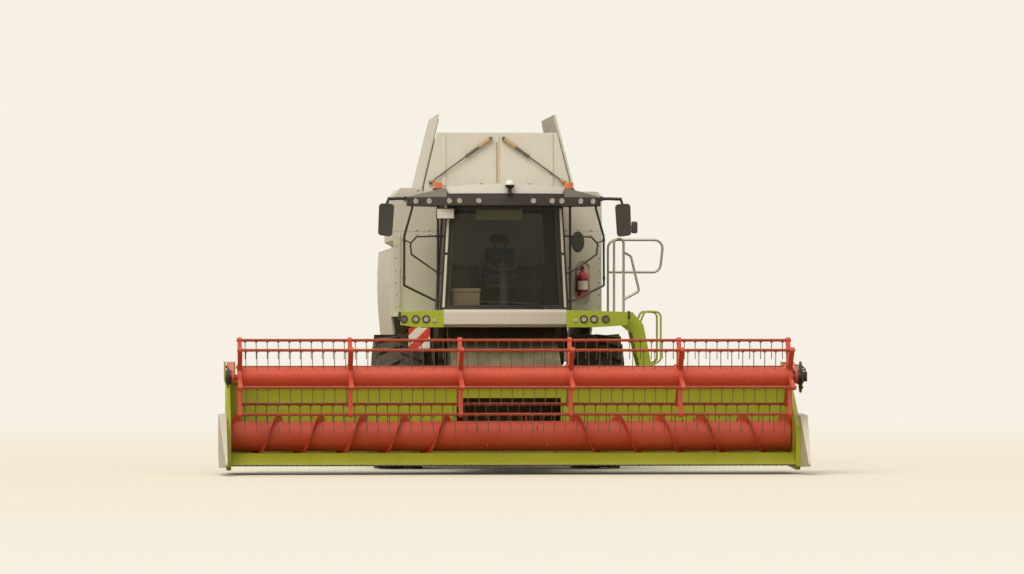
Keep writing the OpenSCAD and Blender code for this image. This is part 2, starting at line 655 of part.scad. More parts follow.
door_gap = 6;
door_border = 55;
module cab_door_frame() color(dark) difference() {
  union() {
    intersection() {
      difference() {
        cab_solid(0);
        translate([0, 0, -1]) cab_solid(cab_wall);
        translate([0, 0, 1]) cab_solid(cab_wall);
      }
      side_prism(1, 600, 1000) difference() {
        door_outline(door_gap);
        door_outline(door_gap + door_border);
      }
    }
    at_door_hinge() for (z = hinge_places) {
      translate([hinge_off, 0, z]) cylinder(h = hinge_h, r = hinge_knuckle_r);
      translate([-10, -52, z]) cube([22, 45, hinge_h]);
      translate([4, -12, z]) cube([hinge_off - 4, 8, hinge_h]);
    }
  }
  at_door_hinge() for (z = hinge_places) translate([hinge_off, 0, z - 1])
    cylinder(h = hinge_h + 2, r = hinge_pin_r + 0.5);
}
module cab_door_glass() color(glass) intersection() {
  pane_shell(10);
  side_prism(1, 600, 1000) door_outline(door_gap + door_border + seat);
}

roof_r = screen_r + 200;
module roof_plan() intersection() {
  polygon(mirrored([[0, screen_front - 400], [roof_half, screen_front - 400], [roof_half, -1150], [850, -700],
    [850, cab_rear + 30], [0, cab_rear + 30]]));
  translate([0, screen_c[1]]) circle(r = roof_r, $fn = 180);
}
beacon_x = 892;
beacon_y = -1400;
beacon_z = 3826;
shoulder_top = cab_top + fascia_h + 80;
beacon_d = 120;
roof_lamp_x = [1195, 1020, 755, 620, 365];
roof_lamp_z = cab_top + 62;
roof_lamp_d = 84;
roof_lamp_depth = 50;
// Front face of the roof's fascia at a distance x from the middle
function roof_face(x) = screen_c[1] - sqrt(roof_r * roof_r - x * x);
module cab_roof() color(dark) difference() {
  union() {
    intersection() {
      translate([0, 0, cab_top]) linear_extrude(400) roof_plan();
      along_y(-2300, 2300) polygon(mirrored([[0, cab_top], [roof_half, cab_top], [roof_half, cab_top + fascia_h - 40],
        [820, shoulder_top], [810, shoulder_top], [780, cab_top + fascia_h], [0, cab_top + fascia_h]]));
    }
    both_sides() translate([beacon_x, beacon_y, cab_top + fascia_h])
      cylinder(h = beacon_z - cab_top - fascia_h, d = beacon_d + 10);
  }
  both_sides() translate([beacon_x, beacon_y, beacon_z]) cylinder(h = 100, d = beacon_d + 4);
  both_sides() for (x = roof_lamp_x) translate([x, roof_face(x) + roof_lamp_depth, roof_lamp_z]) rotate([90, 0, 0])
    cylinder(h = 200, d = roof_lamp_d + 2 * seat);
}
module roof_cap() color("white") intersection() {
  along_y(screen_front - 200, cab_rear + 20 - screen_front + 200) polygon(mirrored([[0, cab_top + fascia_h],
    [780, cab_top + fascia_h], [800, shoulder_top - 20], [780, shoulder_top + 10], [500, shoulder_top + 40],
    [0, shoulder_top + 50]]));
  translate([0, screen_c[1], cab_top]) cylinder(h = 400, r = roof_r - 40, $fn = 180);
}

module driver_seat() color(dark) {
  translate([0, -850, floor_z]) cylinder(h = 300, d1 = 420, d2 = 300);
  translate([0, 0, floor_z + 300]) linear_extrude(60)
    polygon(rounded_ring([[-230, -1080], [230, -1080], [230, -620], [-230, -620]], 40));
  along_x(-240, 480) polygon(rounded_ring([[-1110, floor_z + 360], [-640, floor_z + 360], [-620, floor_z + 440],
    [-1090, floor_z + 480], [-1130, floor_z + 430]], 20));
  along_x(-230, 460) polygon(rounded_ring([[-700, floor_z + 441], [-590, floor_z + 445], [-490, floor_z + 1060],
    [-580, floor_z + 1080]], 20));
  box([-330, -960, floor_z + 560], [-260, -640, floor_z + 610]);
  box([-300, -720, floor_z + 420], [-262, -650, floor_z + 560]);
  box([-262, -720, floor_z + 420], [-240, -650, floor_z + 450]);
}

module cab_console() color(dark) {
  box([-700, -1150, floor_z], [-440, -500, floor_z + 560]);
  intersection() {
    rod([0, -1500, floor_z - 80], [0, -1330, floor_z + 640], 110);
    box([-100, -1600, floor_z], [100, -1200, floor_z + 700]);
  }
  translate([0, -1330, floor_z + 640]) rotate([30, 0, 0]) rotate_extrude() translate([200, 0]) circle(d = 30, $fn = 16);
  translate([0, -1330, floor_z + 640]) rotate([30, 0, 0]) for (a = [0, 120, 240]) rotate([0, 0, a + 90])
    translate([0, -12, -8]) cube([195, 24, 16]);
}

beam_half = 835;
front_beam_z = 1950;
beam_r = screen_r + 150;
module beam_ring() translate([0, screen_c[1], 0]) rotate_extrude($fn = 180) polygon(
  rounded_ring([[screen_r + 1, front_beam_z + 30], [screen_r + 60, front_beam_z], [beam_r, front_beam_z + 40],
    [beam_r, floor_z - 20], [screen_r + 80, floor_z + 12], [screen_r + 1, floor_z + 12]], 14));
module front_beam() color(cream) {
  intersection() {
    beam_ring();
    box([-beam_half, screen_front - 300, front_beam_z - 10], [beam_half, -1200, floor_z + 100]);
  }
  // Bracket arms back to the cab's floor
  both_sides() box([700, -1655, front_beam_z + 60], [780, -1300, floor_z - 80]);
}

lamp_x = [1370, 1210, 1070];
lamp_d = 102;
lamp_z = 2062;
indicator_x = 955;
lamp_depth = 60;
lamp_bend = 1400;
deck_front = -1440;
// Front face of the lamp housings at a distance x from the middle
function lamp_face(x) = -1722 + (x - beam_half) * 0.12;
// Front edge of the cab's floor at a distance x from the middle
function floor_edge(x) = screen_c[1] - sqrt(screen_r * screen_r - x * x);
module lamp_plan(reach) polygon([[beam_half + seat, lamp_face(beam_half)], [lamp_bend, lamp_face(lamp_bend)],
  [reach, lamp_face(reach) + (reach - lamp_bend) * 0.1], [reach, deck_front], [cab_half + seat, deck_front],
  [cab_half + seat, floor_edge(beam_half) - seat], [beam_half + seat, floor_edge(beam_half) - seat]]);
module lamp_front(reach) polygon([[beam_half, front_beam_z], [1220, front_beam_z], [reach, front_beam_z + 30],
  [reach, floor_z - 20], [beam_half, floor_z + 5]]);
module lamp_housing(reach) intersection() {
  translate([0, 0, 1900]) linear_extrude(400) lamp_plan(reach);
  along_y(-1800, 400) lamp_front(reach);
}
module lamp_housings() color(green) difference() {
  union() {
    lamp_housing(deck_x + 26);
    mirror([1, 0, 0]) lamp_housing(1406);
  }
  both_sides() for (x = lamp_x) translate([x, lamp_face(x) + lamp_depth, lamp_z]) rotate([90, 0, 0])
    cylinder(h = 200, d = lamp_d + 2 * seat);
}

module lamps() color("white") both_sides() {
  for (x = lamp_x) translate([x, lamp_face(x) + lamp_depth - seat, lamp_z]) rotate([90, 0, 0])
    cylinder(h = lamp_depth + 8, d = lamp_d);
  translate([beacon_x, beacon_y, beacon_z]) cylinder(h = 95, d = beacon_d);
  for (x = roof_lamp_x) translate([x, roof_face(x) + roof_lamp_depth - seat, roof_lamp_z]) rotate([90, 0, 0])
    cylinder(h = roof_lamp_depth, d = roof_lamp_d);
  // Rear lamps on the tail
  box([820, tail_y + seat, 1930], [1060, tail_y + 45, 2060]);
}

mirror_x = 1610;
mirror_y = -1640;
mirror_w = 220;
module mirrors() color(dark) both_sides() {
  box([roof_half, -1420, cab_top + 70], [roof_half + 40, -1340, cab_top + 130]);
  pipe([[roof_half + 20, -1380, cab_top + 100], [roof_half + 120, -1480, cab_top + 100],
    [mirror_x - 40, mirror_y, cab_top + 90]], 44);
  rod([mirror_x - 40, mirror_y, cab_top + 110], [mirror_x - 10, mirror_y, cab_top + 20], 36);
  translate([0, mirror_y - 35, 0]) along_y(0, 70) polygon(rounded_ring([[mirror_x - mirror_w / 2, 3620],
    [mirror_x + mirror_w / 2 - 15, 3630], [mirror_x + mirror_w / 2, 3200], [mirror_x - mirror_w / 2 + 30, 3175]], 45));
}

rail_y = -1490;
outer_rail_d = 32;
inner_rail_d = 24;
function cab_side(z) = cab_half - (z - floor_z) * (cab_half - cab_top_half) / (cab_top - floor_z);
// Half outlines of the cab's hand rails in (x, z), which end on the roof and on the corner posts
outer_rail = [[1250, cab_top - seat], [1250, cab_top - 30], [1357, 3190], [1360, 2520], [930, 2310],
  [cab_side(2310 - outer_rail_d / 2) + seat, 2310]];
inner_rail = [[cab_side(3190 - inner_rail_d / 2) + seat, 3190], [1190, 3180], [1275, 3085], [1260, 2940], [900, 2690],
  [cab_side(2690 - inner_rail_d / 2) + seat, 2690]];
module grab_rails() color(dark) both_sides() {
  pipe(rounded_path([for (p = outer_rail) [p[0], rail_y, p[1]]], 25), outer_rail_d, [0, 1, 0]);
  pipe(rounded_path([for (p = inner_rail) [p[0], rail_y, p[1]]], 30), inner_rail_d, [0, 1, 0]);
}

tread_t = 6;
ladder_top = [1760, 1990];
ladder_foot = [2150, 400];
module platform() color(green) {
  box([cab_half, deck_front, deck_z - deck_t], [deck_x, tank_front, deck_z]);
  mirror([1, 0, 0]) box([cab_half, deck_front, deck_z - deck_t], [body_half, tank_front, deck_z]);
  // Raised tread plate, clear of the door's hinges and of the railings' posts
  box([cab_half + 50, deck_front + 45, deck_z - tread_t], [1480, tank_front - 40, deck_z + tread_t]);
  // Ladder stringers and rungs
  for (y = [-1360, -1360 + ladder_w]) along_y(y, 30) polygon([[deck_x, deck_z], [deck_x, 1980],
    [ladder_top[0] - 10, 1900], [ladder_foot[0] - 60, ladder_foot[1]], [ladder_foot[0] + 90, ladder_foot[1]], [ladder_top[0] + 150, ladder_top[1]],
    [ladder_top[0], deck_z]]);
  // Hand rails outside the stringers
  for (y = [-1345, -1345 + ladder_w]) pipe(rounded_path([[ladder_top[0] + 60, y, 1900], [ladder_top[0] + 170, y, 2170],
    [ladder_top[0] + 390, y, 2160], [ladder_top[0] + 390, y, 1500], [ladder_top[0] + 230, y, 1420]], 70), 28, [0, 1, 0]);
  for (i = [0:rungs - 1]) let (k = (i + 0.6) / rungs, p = ladder_foot + (ladder_top - ladder_foot) * k)
    box([p[0] - 30, -1330, p[1]], [p[0] + 130, -1360 + ladder_w, p[1] + 30]);
}

module railings() color(steel) {
  // Handle beside the ladder's top
  pipe(rounded_path([[1635, deck_front + 20, 2976], [1735, deck_front + 20, 2918], [1849, deck_front + 20, 2443],
    [1635, deck_front + 20, 2329]], 50), rail_d, [0, 1, 0]);
  y1 = deck_front + rail_d / 2 + 3;
  for (x = [1504, 1652 - rail_d / 2]) rod([x, y1, deck_z], [x, y1, 3060], rail_d);
  pipe(rounded_path([[1504, y1, 3050], [1504, y1, 3156], [1652 - rail_d / 2, y1, 3156],
    [1652 - rail_d / 2, y1, 3050]], 60), rail_d, [0, 1, 0]);
  y2 = tank_front - 100;
  pipe(rounded_path([[1520, y2, deck_z], [1520, y2, 3160], [2290, y2, 3160], [2240, y2, 2714],
    [1520 + rail_d / 2 + seat, y2, 2714]], 110),
    rail_d, [0, 1, 0]);
}

module front_plates() color("white") {
  box([-1310, -1730, 1665], [-1020, -1722, 1945]);
  box([-1180, -1722, 1900], [-1150, -1600, front_beam_z]);
  box([-930, -1706, 3420], [-690, -1700, 3560]);
  box([-820, -1700, 3440], [-790, -1690, cab_top]);
}

module extinguisher() color(red) translate([niche_x, tank_front + niche_depth - seat - 76, 0]) {
  translate([0, 0, 2370]) cylinder(h = 300, r = 76);
  translate([0, 0, 2670]) cylinder(h = 50, r1 = 76, r2 = 30);
  translate([0, 0, 2720]) cylinder(h = 50, r = 25);
}

// Feeder house and header

feeder_end_r = 380;
header_front = header_rear - 30;
module feeder_profile(inset) polygon(concat(
  arc([-feeder_y, feeder_z], feeder_end_r - inset, -66, 66 + 48, 20),
  [[header_rear - (inset > 0 ? 1 : 0), 1250 - inset], [header_rear - (inset > 0 ? 1 : 0), 150 + inset]]));
module feeder_house() color(cream) {
  difference() {
    along_x(-feeder_half, 2 * feeder_half) feeder_profile(0);
    along_x(-feeder_half + 20, 2 * feeder_half - 40) intersection() {
      feeder_profile(20);
      polygon([[header_rear - 10, 0], [header_rear + 700, 0], [header_rear + 700, 2000], [header_rear - 10, 2000]]);
    }
  }
  both_sides() {
    about_x(-feeder_y, feeder_z) translate([0, 0, feeder_half - 1]) cylinder(h = housing_half - feeder_half + 1, r = pivot_r);
  }
  // Lugs and pins for the lift cylinders
  both_sides() {
    for (x = [lift_x - 62, lift_x + 42]) along_x(x, 20) polygon([[rod_eye[0] - 60, rod_eye[1] - 50],
      [rod_eye[0] + 60, rod_eye[1] - 50], [rod_eye[0] + 140, 700], [rod_eye[0] - 140, 600]]);
    translate([lift_x - 62, rod_eye[0], rod_eye[1]]) rotate([0, 90, 0]) cylinder(h = 124, r = lift_pin_r);
  }
}

trough_r = 340;
knife_y = -3560;
half_header = header_w / 2;
mouth_half = feeder_half - 40;
auger_shaft_r = 30;
end_wall_t = 50;
// The end walls reach this far inside the header's width
end_wall_in = 10;
arm_pin_r = 20;
bracket_in = half_header - 84;
bracket_out = half_header + 68;
// Top tube, end walls and pivot brackets
module header_frame() color(green) {
  along_x(-bracket_out, 2 * bracket_out) polygon([[header_rear, header_h], [header_front - 90, header_h],
    [header_front - 90, header_h + 100], [header_rear, header_h + 100]]);
  both_sides() difference() {
    union() {
      along_x(half_header - end_wall_in, end_wall_t + end_wall_in) polygon([[header_rear, header_h + 50],
        [header_rear, 100], [knife_y, 60], [knife_y - 60, 110], [knife_y - 40, 650], [header_rear - 300, 1150],
        [header_front - 90, header_h + 50]]);
      // Pivot brackets of the reel arms
      for (x = [bracket_in, bracket_out - 24]) box([x, -2560, header_h], [x + 24, header_rear, header_h + 270]);
    }
    about_x(-auger_y, auger_z) cylinder(h = half_header + 100, r = auger_shaft_r + 0.6);
    about_x(arm_pivot[0], arm_pivot[1]) cylinder(h = half_header + 100, r = arm_pin_r + 0.6);
  }
}

// Back wall and trough: a section on each side of the mouth, one below it and one above
rib_t = 12;
ribs = 5;
mouth_low = 230;
mouth_top = 1000;
module trough_profile() polygon(concat([[header_rear, header_h - seat], [header_rear, auger_z]],
  arc([-auger_y, auger_z], trough_r + 20, -50, -140, 12), [[knife_y, 118], [knife_y, 138]],
  arc([-auger_y, auger_z], trough_r, -140, -50, 12), [[header_front, auger_z + 20], [header_front, header_h - seat]]));
module header_trough() color(green) {
  both_sides() {
    along_x(mouth_half, half_header - end_wall_in - seat - mouth_half) trough_profile();
    // Ribs behind the wall
    for (k = [0:ribs - 1]) along_x(950 + k * (half_header - 1100) / (ribs - 1), rib_t) polygon([
      [header_rear + seat, header_h], [header_rear + 55, header_h - 60], [header_rear + 55, auger_z + 60],
      [header_rear + seat, auger_z]]);
  }
  along_x(-mouth_half + seat, 2 * (mouth_half - seat)) difference() {
    trough_profile();
    translate([header_front - 100, mouth_low]) square([200, mouth_top - mouth_low]);
  }
}

module knife_bar() color(steel) {
  knife_half = half_header - end_wall_in - seat;
  pitch = 2 * knife_half / fingers;
  translate([0, 0, 116]) linear_extrude(16) polygon(concat([[knife_half, knife_y - seat], [-knife_half, knife_y - seat]],
    [for (i = [0:fingers - 1]) each let (x = -knife_half + i * pitch)
      [[x + 0.1 * pitch, knife_y - 30], [x + 0.5 * pitch, knife_y - 130], [x + 0.9 * pitch, knife_y - 30]]]));
}

module dividers() color(cream) both_sides() difference() {
  intersection() {
    along_x(half_header + end_wall_t, 100) polygon(rounded_ring([[-tip_y, 130], [knife_y - 20, 100], [-2900, 250], [-2900, 800],
      [knife_y, 780], [-tip_y + 120, 230]], 30));
    linear_extrude(2000) polygon([[half_header + 50, -2900], [half_header + 150, -2900], [half_header + 150, knife_y],
      [half_header + 75, -tip_y], [half_header + 50, -tip_y]]);
  }
}

flight_t = 8;
module flight(x0, turns, hand, n = 14) {
  steps = ceil(turns * n);
  r0 = auger_tube_d / 2 + seat;
  r1 = auger_d / 2;
  pts = [for (i = [0:steps]) let (a = hand * 360 * i / n, x = x0 + auger_pitch * i / n)
    each [[x, r0 * cos(a), r0 * sin(a)], [x, r1 * cos(a), r1 * sin(a)],
          [x + flight_t, r1 * cos(a), r1 * sin(a)], [x + flight_t, r0 * cos(a), r0 * sin(a)]]];
  sides = [for (i = [0:steps - 1]) for (k = [0:3]) let (m = (k + 1) % 4, q = 4 * i, p = 4 * (i + 1))
    each hand > 0 ? [[q + k, q + m, p + m], [q + k, p + m, p + k]] : [[q + m, q + k, p + k], [q + m, p + k, p + m]]];
  e = 4 * steps;
  caps = hand > 0 ? [[3, 2, 1, 0], [e, e + 1, e + 2, e + 3]] : [[0, 1, 2, 3], [e + 3, e + 2, e + 1, e]];
  polyhedron(pts, concat(sides, caps));
}
module header_auger() color(red) translate([0, -auger_y, auger_z]) {
  rotate([0, 90, 0]) translate([0, 0, -half_header + 20]) cylinder(h = header_w - 40, d = auger_tube_d);
  rotate([0, 90, 0]) translate([0, 0, -half_header - 45]) cylinder(h = header_w + 90, r = auger_shaft_r);
  turns = (half_header - 760) / auger_pitch;
  translate([mouth_half + 20, 0, 0]) flight(0, turns, 1);
  mirror([1, 0, 0]) translate([mouth_half + 20, 0, 0]) flight(0, turns, 1);
  // Feed fingers in front of the mouth
  for (i = [0:9]) rotate([60 * i, 0, 0]) translate([-600 + i * 1200 / 9, 0, auger_tube_d / 2 - 5])
    cylinder(h = 90, r = 8);
}

arm_pivot = [-2490, 1420];
arm_x = half_header - 50;
arm_w = 80;
star_half = half_header - reel_gap;
star_pitch = 2 * star_half / sections;
shaft_r = 40;
module reel_arms() color(red) both_sides() {
  difference() {
    along_x(arm_x, arm_w) polygon(concat(arc([-reel_y, reel_z], 90, 100, 260, 8),
      [[arm_pivot[0], arm_pivot[1] - 60]], arc(arm_pivot, 60, -80, 80, 6), [[-3000, arm_pivot[1] + 70]]));
    translate([arm_x - 1, -reel_y, reel_z]) rotate([0, 90, 0]) cylinder(h = arm_w + 2, r = shaft_r + 0.6);
  }
  about_x(arm_pivot[0], arm_pivot[1]) translate([0, 0, bracket_in]) cylinder(h = bracket_out - bracket_in, r = arm_pin_r);
}

bar_angles = [105, 45, -15, -75, -135, 165];
function bar_place(i) = [-reel_y - reel_r * cos(bar_angles[i]), reel_z + reel_r * sin(bar_angles[i])];
star_t = 12;
star_depth = 56;
star_edge = 9;
// Outline of a star's hub, arms and bar bearings, t inside its edges
module star_outline(t) {
  circle(r = reel_tube_d / 2 + 40 - t);
  for (a = bar_angles) rotate(a) {
    translate([reel_tube_d / 2, -30 + t]) square([reel_r - reel_tube_d / 2, 60 - 2 * t]);
    translate([reel_r, 0]) circle(r = bar_d / 2 + 20 - t);
  }
}
// A plate with a rim along its edges and a collar round each bar
module reel_star() difference() {
  union() {
    translate([0, 0, (star_depth - star_t) / 2]) linear_extrude(star_t) star_outline(0);
    linear_extrude(star_depth) difference() {
      star_outline(0);
      star_outline(star_edge);
    }
    linear_extrude(star_depth) for (a = bar_angles) rotate(a) translate([reel_r, 0]) circle(r = bar_d / 2 + 9);
  }
  translate([0, 0, -1]) linear_extrude(star_depth + 2) {
    circle(r = reel_tube_d / 2 - 10);
    for (a = bar_angles) rotate(a) translate([reel_r, 0]) circle(r = bar_d / 2 + 0.6);
  }
}
module reel_core() color(red) translate([0, -reel_y, reel_z]) {
  rotate([0, 90, 0]) translate([0, 0, -star_half]) cylinder(h = 2 * star_half, d = reel_tube_d);
  // Stars are drawn with the angle measured from the front, upwards
  for (i = [0:sections]) translate([-star_half + i * star_pitch - star_depth / 2, 0, 0])
    rotate([90, 0, -90]) mirror([0, 0, 1]) reel_star();
  both_sides() rotate([0, 90, 0]) translate([0, 0, star_half - 5]) cylinder(h = arm_x + arm_w - star_half, r = shaft_r);
}

module tine_bar(i) color(red) {
  p = bar_place(i);
  translate([-star_half - 40, p[0], p[1]]) rotate([0, 90, 0]) cylinder(h = 2 * star_half + 80, d = bar_d);
  for (s = [0:sections - 1]) for (k = [0:tines - 1])
    translate([-star_half + s * star_pitch + (k + 0.5) * star_pitch / tines, p[0], p[1]]) {
      along_x(-17, 34) polygon([[-bar_d / 2 - 5, 12], [bar_d / 2 + 5, 12], [bar_d / 2 + 5, -16], [10, -30],
        [-10, -30], [-bar_d / 2 - 5, -16]]);
      along_x(-5, 10) polygon([[-5, -25], [6, -25], [8, -70], [16, -tine_l], [6, -tine_l], [-3, -70]]);
    }
}

// Unloading auger

chute_x = 1310;
chute_y = 550;
chute_z = 3500;
chute_d = 380;
chute_end = 5600;
module unloading_auger() color(cream) difference() {
  union() {
    translate([chute_x, chute_y, shoulder_z + seat]) cylinder(h = chute_z - shoulder_z - seat, d = chute_d);
    translate([chute_x, chute_y, chute_z]) sphere(d = chute_d);
    translate([chute_x, chute_y, chute_z]) rotate([-90, 0, 0]) cylinder(h = chute_end - chute_y, d = chute_d);
  }
  translate([chute_x, chute_end - 500, chute_z]) rotate([-90, 0, 0]) cylinder(h = 501, d = chute_d - 20);
  translate([chute_x - 130, chute_end - 330, chute_z - 300]) cube([260, 340, 250]);
}

// Grain tank flaps

side_hinge_x = tank_half - 12;
flap_pin_r = 16;
side_hinge_z = rim_z + flap_pin_r + seat;
end_hinge_z = rim_z - 170;
end_hinge_y = tank_front + 40 + flap_t + pass;
tank_inner_half = tank_half - wall;
rear_hinge_y = tank_rear - wall - flap_t - pass;
end_mitre = tan(end_flap_lean);
flap_ribs = 6;
flap_rib_h = 12;
strut_d = 22;

// The flap's lower pivot barrel runs along the hinge line
module side_flap() translate([side_hinge_x, 0, side_hinge_z]) rotate([0, -side_flap_lean, 0]) {
  y0 = end_hinge_y + (side_hinge_z - end_hinge_z) * end_mitre + 2 * pass;
  y1 = rear_hinge_y - (side_hinge_z - end_hinge_z) * end_mitre - 2 * pass;
  slope = end_mitre * cos(side_flap_lean);
  along_x(0, flap_t) polygon([[y0, 0], [y1, 0], [y1 - slope * side_flap_l, side_flap_l],
    [y0 + slope * side_flap_l, side_flap_l]]);
  translate([0, y0, 0]) rotate([-90, 0, 0]) cylinder(h = y1 - y0, r = flap_pin_r);
  // Pressed ribs on the inner face
  first = y0 + slope * side_flap_l + 60;
  for (k = [0:flap_ribs - 1]) translate([0, first + k * (y1 - y0 - 2 * (first - y0) - 80) / (flap_ribs - 1), 0])
    along_x(-flap_rib_h, flap_rib_h + flap_t / 2) polygon([[0, 110], [80, 110], [80, side_flap_l - 60],
      [0, side_flap_l - 60]]);
}
module tank_flap_left() color(cream) side_flap();
module tank_flap_right() color(cream) mirror([1, 0, 0]) side_flap();

// Half the width that the open side flaps leave between them at height z
function end_half(z) = side_hinge_x - (z - side_hinge_z) * tan(side_flap_lean) - 20;
module end_flap() {
  c = cos(end_flap_lean);
  top = end_hinge_z + end_flap_l * c;
  low_half = tank_inner_half - 14;
  bend = side_hinge_z + (side_hinge_x - 20 - low_half) / tan(side_flap_lean);
  rotate([-end_flap_lean, 0, 0]) {
    along_y(-flap_t, flap_t) polygon(mirrored([[0, 0], [low_half, 0], [low_half, (bend - end_hinge_z) / c],
      [end_half(top), end_flap_l], [0, end_flap_l]]));
    rotate([0, 90, 0]) translate([0, 0, -tank_inner_half - 15]) cylinder(h = 2 * tank_inner_half + 30, r = flap_pin_r);
    // Ribs on the outer face
    for (x = [-35, end_half(top) - 120, -end_half(top) + 60]) along_y(-flap_t - 20, 20 + flap_t / 2)
      polygon([[x, 250], [x + 60, 250], [x + 60, end_flap_l - 25], [x, end_flap_l - 25]]);
    // Struts from the lower corners to the middle of the top, on lugs
    both_sides() {
      foot = [low_half - 90, -flap_t - 45, 290];
      head = [90, -flap_t - 45, end_flap_l - 90];
      rod(foot, head, strut_d);
      rod(foot * 0.42 + head * 0.58, head * 0.97 + foot * 0.03, 2 * strut_d);
      for (e = [foot, head]) box([e[0] - 22, e[1] - 16, e[2] - 22], [e[0] + 22, -flap_t / 2, e[2] + 22]);
    }
  }
}
module tank_flap_front() color(cream) translate([0, end_hinge_y, end_hinge_z]) end_flap();
module tank_flap_rear() color(cream) translate([0, rear_hinge_y, end_hinge_z]) mirror([0, 1, 0]) end_flap();

// Side panels

arch_r = rear_z + 130;
panel_low = 1100;
arch_top = rear_tyre_d + 130;
module side_panel() {
  for (k = [0:3]) translate([panel_hinge_x, panel_front + 60 + k * (hood_rear - panel_front - 240) / 3, panel_top])
    rotate([-90, 0, 0]) cylinder(h = 120, r = panel_barrel_r);
  panel_skin();
}
module panel_skin() intersection() {
  translate([body_half - panel_r, 0, panel_belly]) along_y(panel_front, panel_rear - panel_front) difference() {
    circle(r = panel_r, $fn = 360);
    circle(r = panel_r - wall, $fn = 360);
  }
  along_x(body_half - 540, 600) polygon([[panel_front, panel_top], [panel_front, panel_low + 50],
    [panel_front + 80, panel_low], [wheelbase - arch_r - 250, panel_low], [wheelbase - arch_r, arch_top],
    [panel_rear, arch_top], [panel_rear, panel_top]]);
}
module side_panel_left() color(cream) side_panel();
module side_panel_right() color(cream) mirror([1, 0, 0]) side_panel();

placed() chassis_frame();
placed() front_axle();
placed() rear_axle();
placed() threshing_housing();
placed() drive_pulleys();
placed() grain_tank();
placed() filling_auger();
placed() engine();
placed() engine_hood();
placed() rear_hood();
placed() straw_chopper();
placed() cab_floor();
placed() cab_frame();
placed() cab_glass();
placed() cab_roof();
placed() roof_cap();
placed() driver_seat();
placed() cab_console();
placed() front_beam();
placed() lamp_housings();
placed() lamps();
placed() mirrors();
placed() grab_rails();
placed() platform();
placed() railings();
placed() front_plates();
placed() extinguisher();
placed() feeder_house();
placed() header_frame();
placed() header_trough();
placed() knife_bar();
placed() dividers();
placed() header_auger();
placed() reel_arms();
placed() reel_core();
placed() tine_bar(0);  // tine_bar_1
placed() tine_bar(1);  // tine_bar_2
placed() tine_bar(2);  // tine_bar_3
placed() tine_bar(3);  // tine_bar_4
placed() tine_bar(4);  // tine_bar_5
placed() tine_bar(5);  // tine_bar_6
placed() front_tyre(1);  // front_tyre_left
placed() front_rim(1);  // front_rim_left
placed() front_tyre(-1);  // front_tyre_right
placed() front_rim(-1);  // front_rim_right
placed() knuckle(1);  // knuckle_left
placed() knuckle(-1);  // knuckle_right
placed() rear_tyre(1);  // rear_tyre_left
placed() rear_rim(1);  // rear_rim_left
placed() rear_tyre(-1);  // rear_tyre_right
placed() rear_rim(-1);  // rear_rim_right
placed() unloading_auger();
placed() cab_door_frame();
placed() cab_door_glass();
placed() tank_flap_front();
placed() tank_flap_rear();
placed() tank_flap_left();
placed() tank_flap_right();
placed() side_panel_left();
placed() side_panel_right();
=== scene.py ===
"""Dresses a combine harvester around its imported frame, as an add-on with an operator for each group."""

import json
import math

import bmesh
import bpy
from bpy.props import FloatProperty, FloatVectorProperty, IntProperty, PointerProperty
from mathutils import Matrix, Vector


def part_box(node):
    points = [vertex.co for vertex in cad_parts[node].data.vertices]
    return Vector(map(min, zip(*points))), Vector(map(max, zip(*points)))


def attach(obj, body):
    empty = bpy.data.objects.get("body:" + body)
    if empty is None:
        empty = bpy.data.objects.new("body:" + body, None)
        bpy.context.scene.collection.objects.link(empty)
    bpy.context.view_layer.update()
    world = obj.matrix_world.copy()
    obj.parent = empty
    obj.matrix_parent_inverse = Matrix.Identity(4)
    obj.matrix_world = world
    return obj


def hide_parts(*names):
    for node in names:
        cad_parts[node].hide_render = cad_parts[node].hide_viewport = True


bl_info = {
    "name": "Combine Harvester",
    "version": (1, 0, 0),
    "blender": (4, 5, 0),
    "location": "3D View > Sidebar > Harvester",
    "description": "Finishes, lamps, seat and small fittings of a combine harvester, with its stage",
    "category": "Object",
}

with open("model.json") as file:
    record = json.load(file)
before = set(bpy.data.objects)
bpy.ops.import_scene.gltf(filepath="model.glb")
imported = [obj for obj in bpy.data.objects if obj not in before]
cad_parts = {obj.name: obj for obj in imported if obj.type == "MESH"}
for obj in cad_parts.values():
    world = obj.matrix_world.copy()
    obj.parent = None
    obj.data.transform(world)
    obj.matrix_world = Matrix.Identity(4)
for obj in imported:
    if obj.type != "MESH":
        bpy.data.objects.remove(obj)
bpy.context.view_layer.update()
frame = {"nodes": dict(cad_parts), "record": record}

FRAME_WIDTH = 1024
FRAME_HEIGHT = 574
# Lengths of the part's source are millimetres, with y from the front axle
SETBACK = 800
# The windscreen and the roof's front are parts of cylinders about one axis
SCREEN_AXIS = 150
SCREEN_RADIUS = 1900
ROOF_RADIUS = 2100
GLASS_INSET = 10
FLOOR_TOP = 2180
CAB_TOP = 3600
RAIL_LINE = -1490
HEADLAMPS = (1370, 1210, 1070)
# The tank's end flaps lean out from their hinges, with struts in front of their plates
FLAP_HINGES = {"front": -72, "rear": 2682}
FLAP_HINGE_Z = 3660
FLAP_LEAN = math.radians(8)
STRUT_BACK = 53
ROOF_LAMPS = (1195, 1020, 755, 620, 365)
# Centres of what is turned round an axis, the reel's as (y, z) and the extinguisher's as (x, y)
REEL_CENTRE = (-3750, 1290)
EXTINGUISHER = (1172, -201)
RECEIVER = (45, -1982, 3874)
BEACON = (892, -1400, 3826)
STARS = 6
STAR_SPACING = 1452
# End of the machine, centre y and z, face of the hub, nut circle, cap radius, share of the nut's width
WHEELS = (
    ("front", 0, 930, 1210, 160, 104, 1.0),
    ("rear", 3750, 660, 1180, 84, 66, 0.55),
)
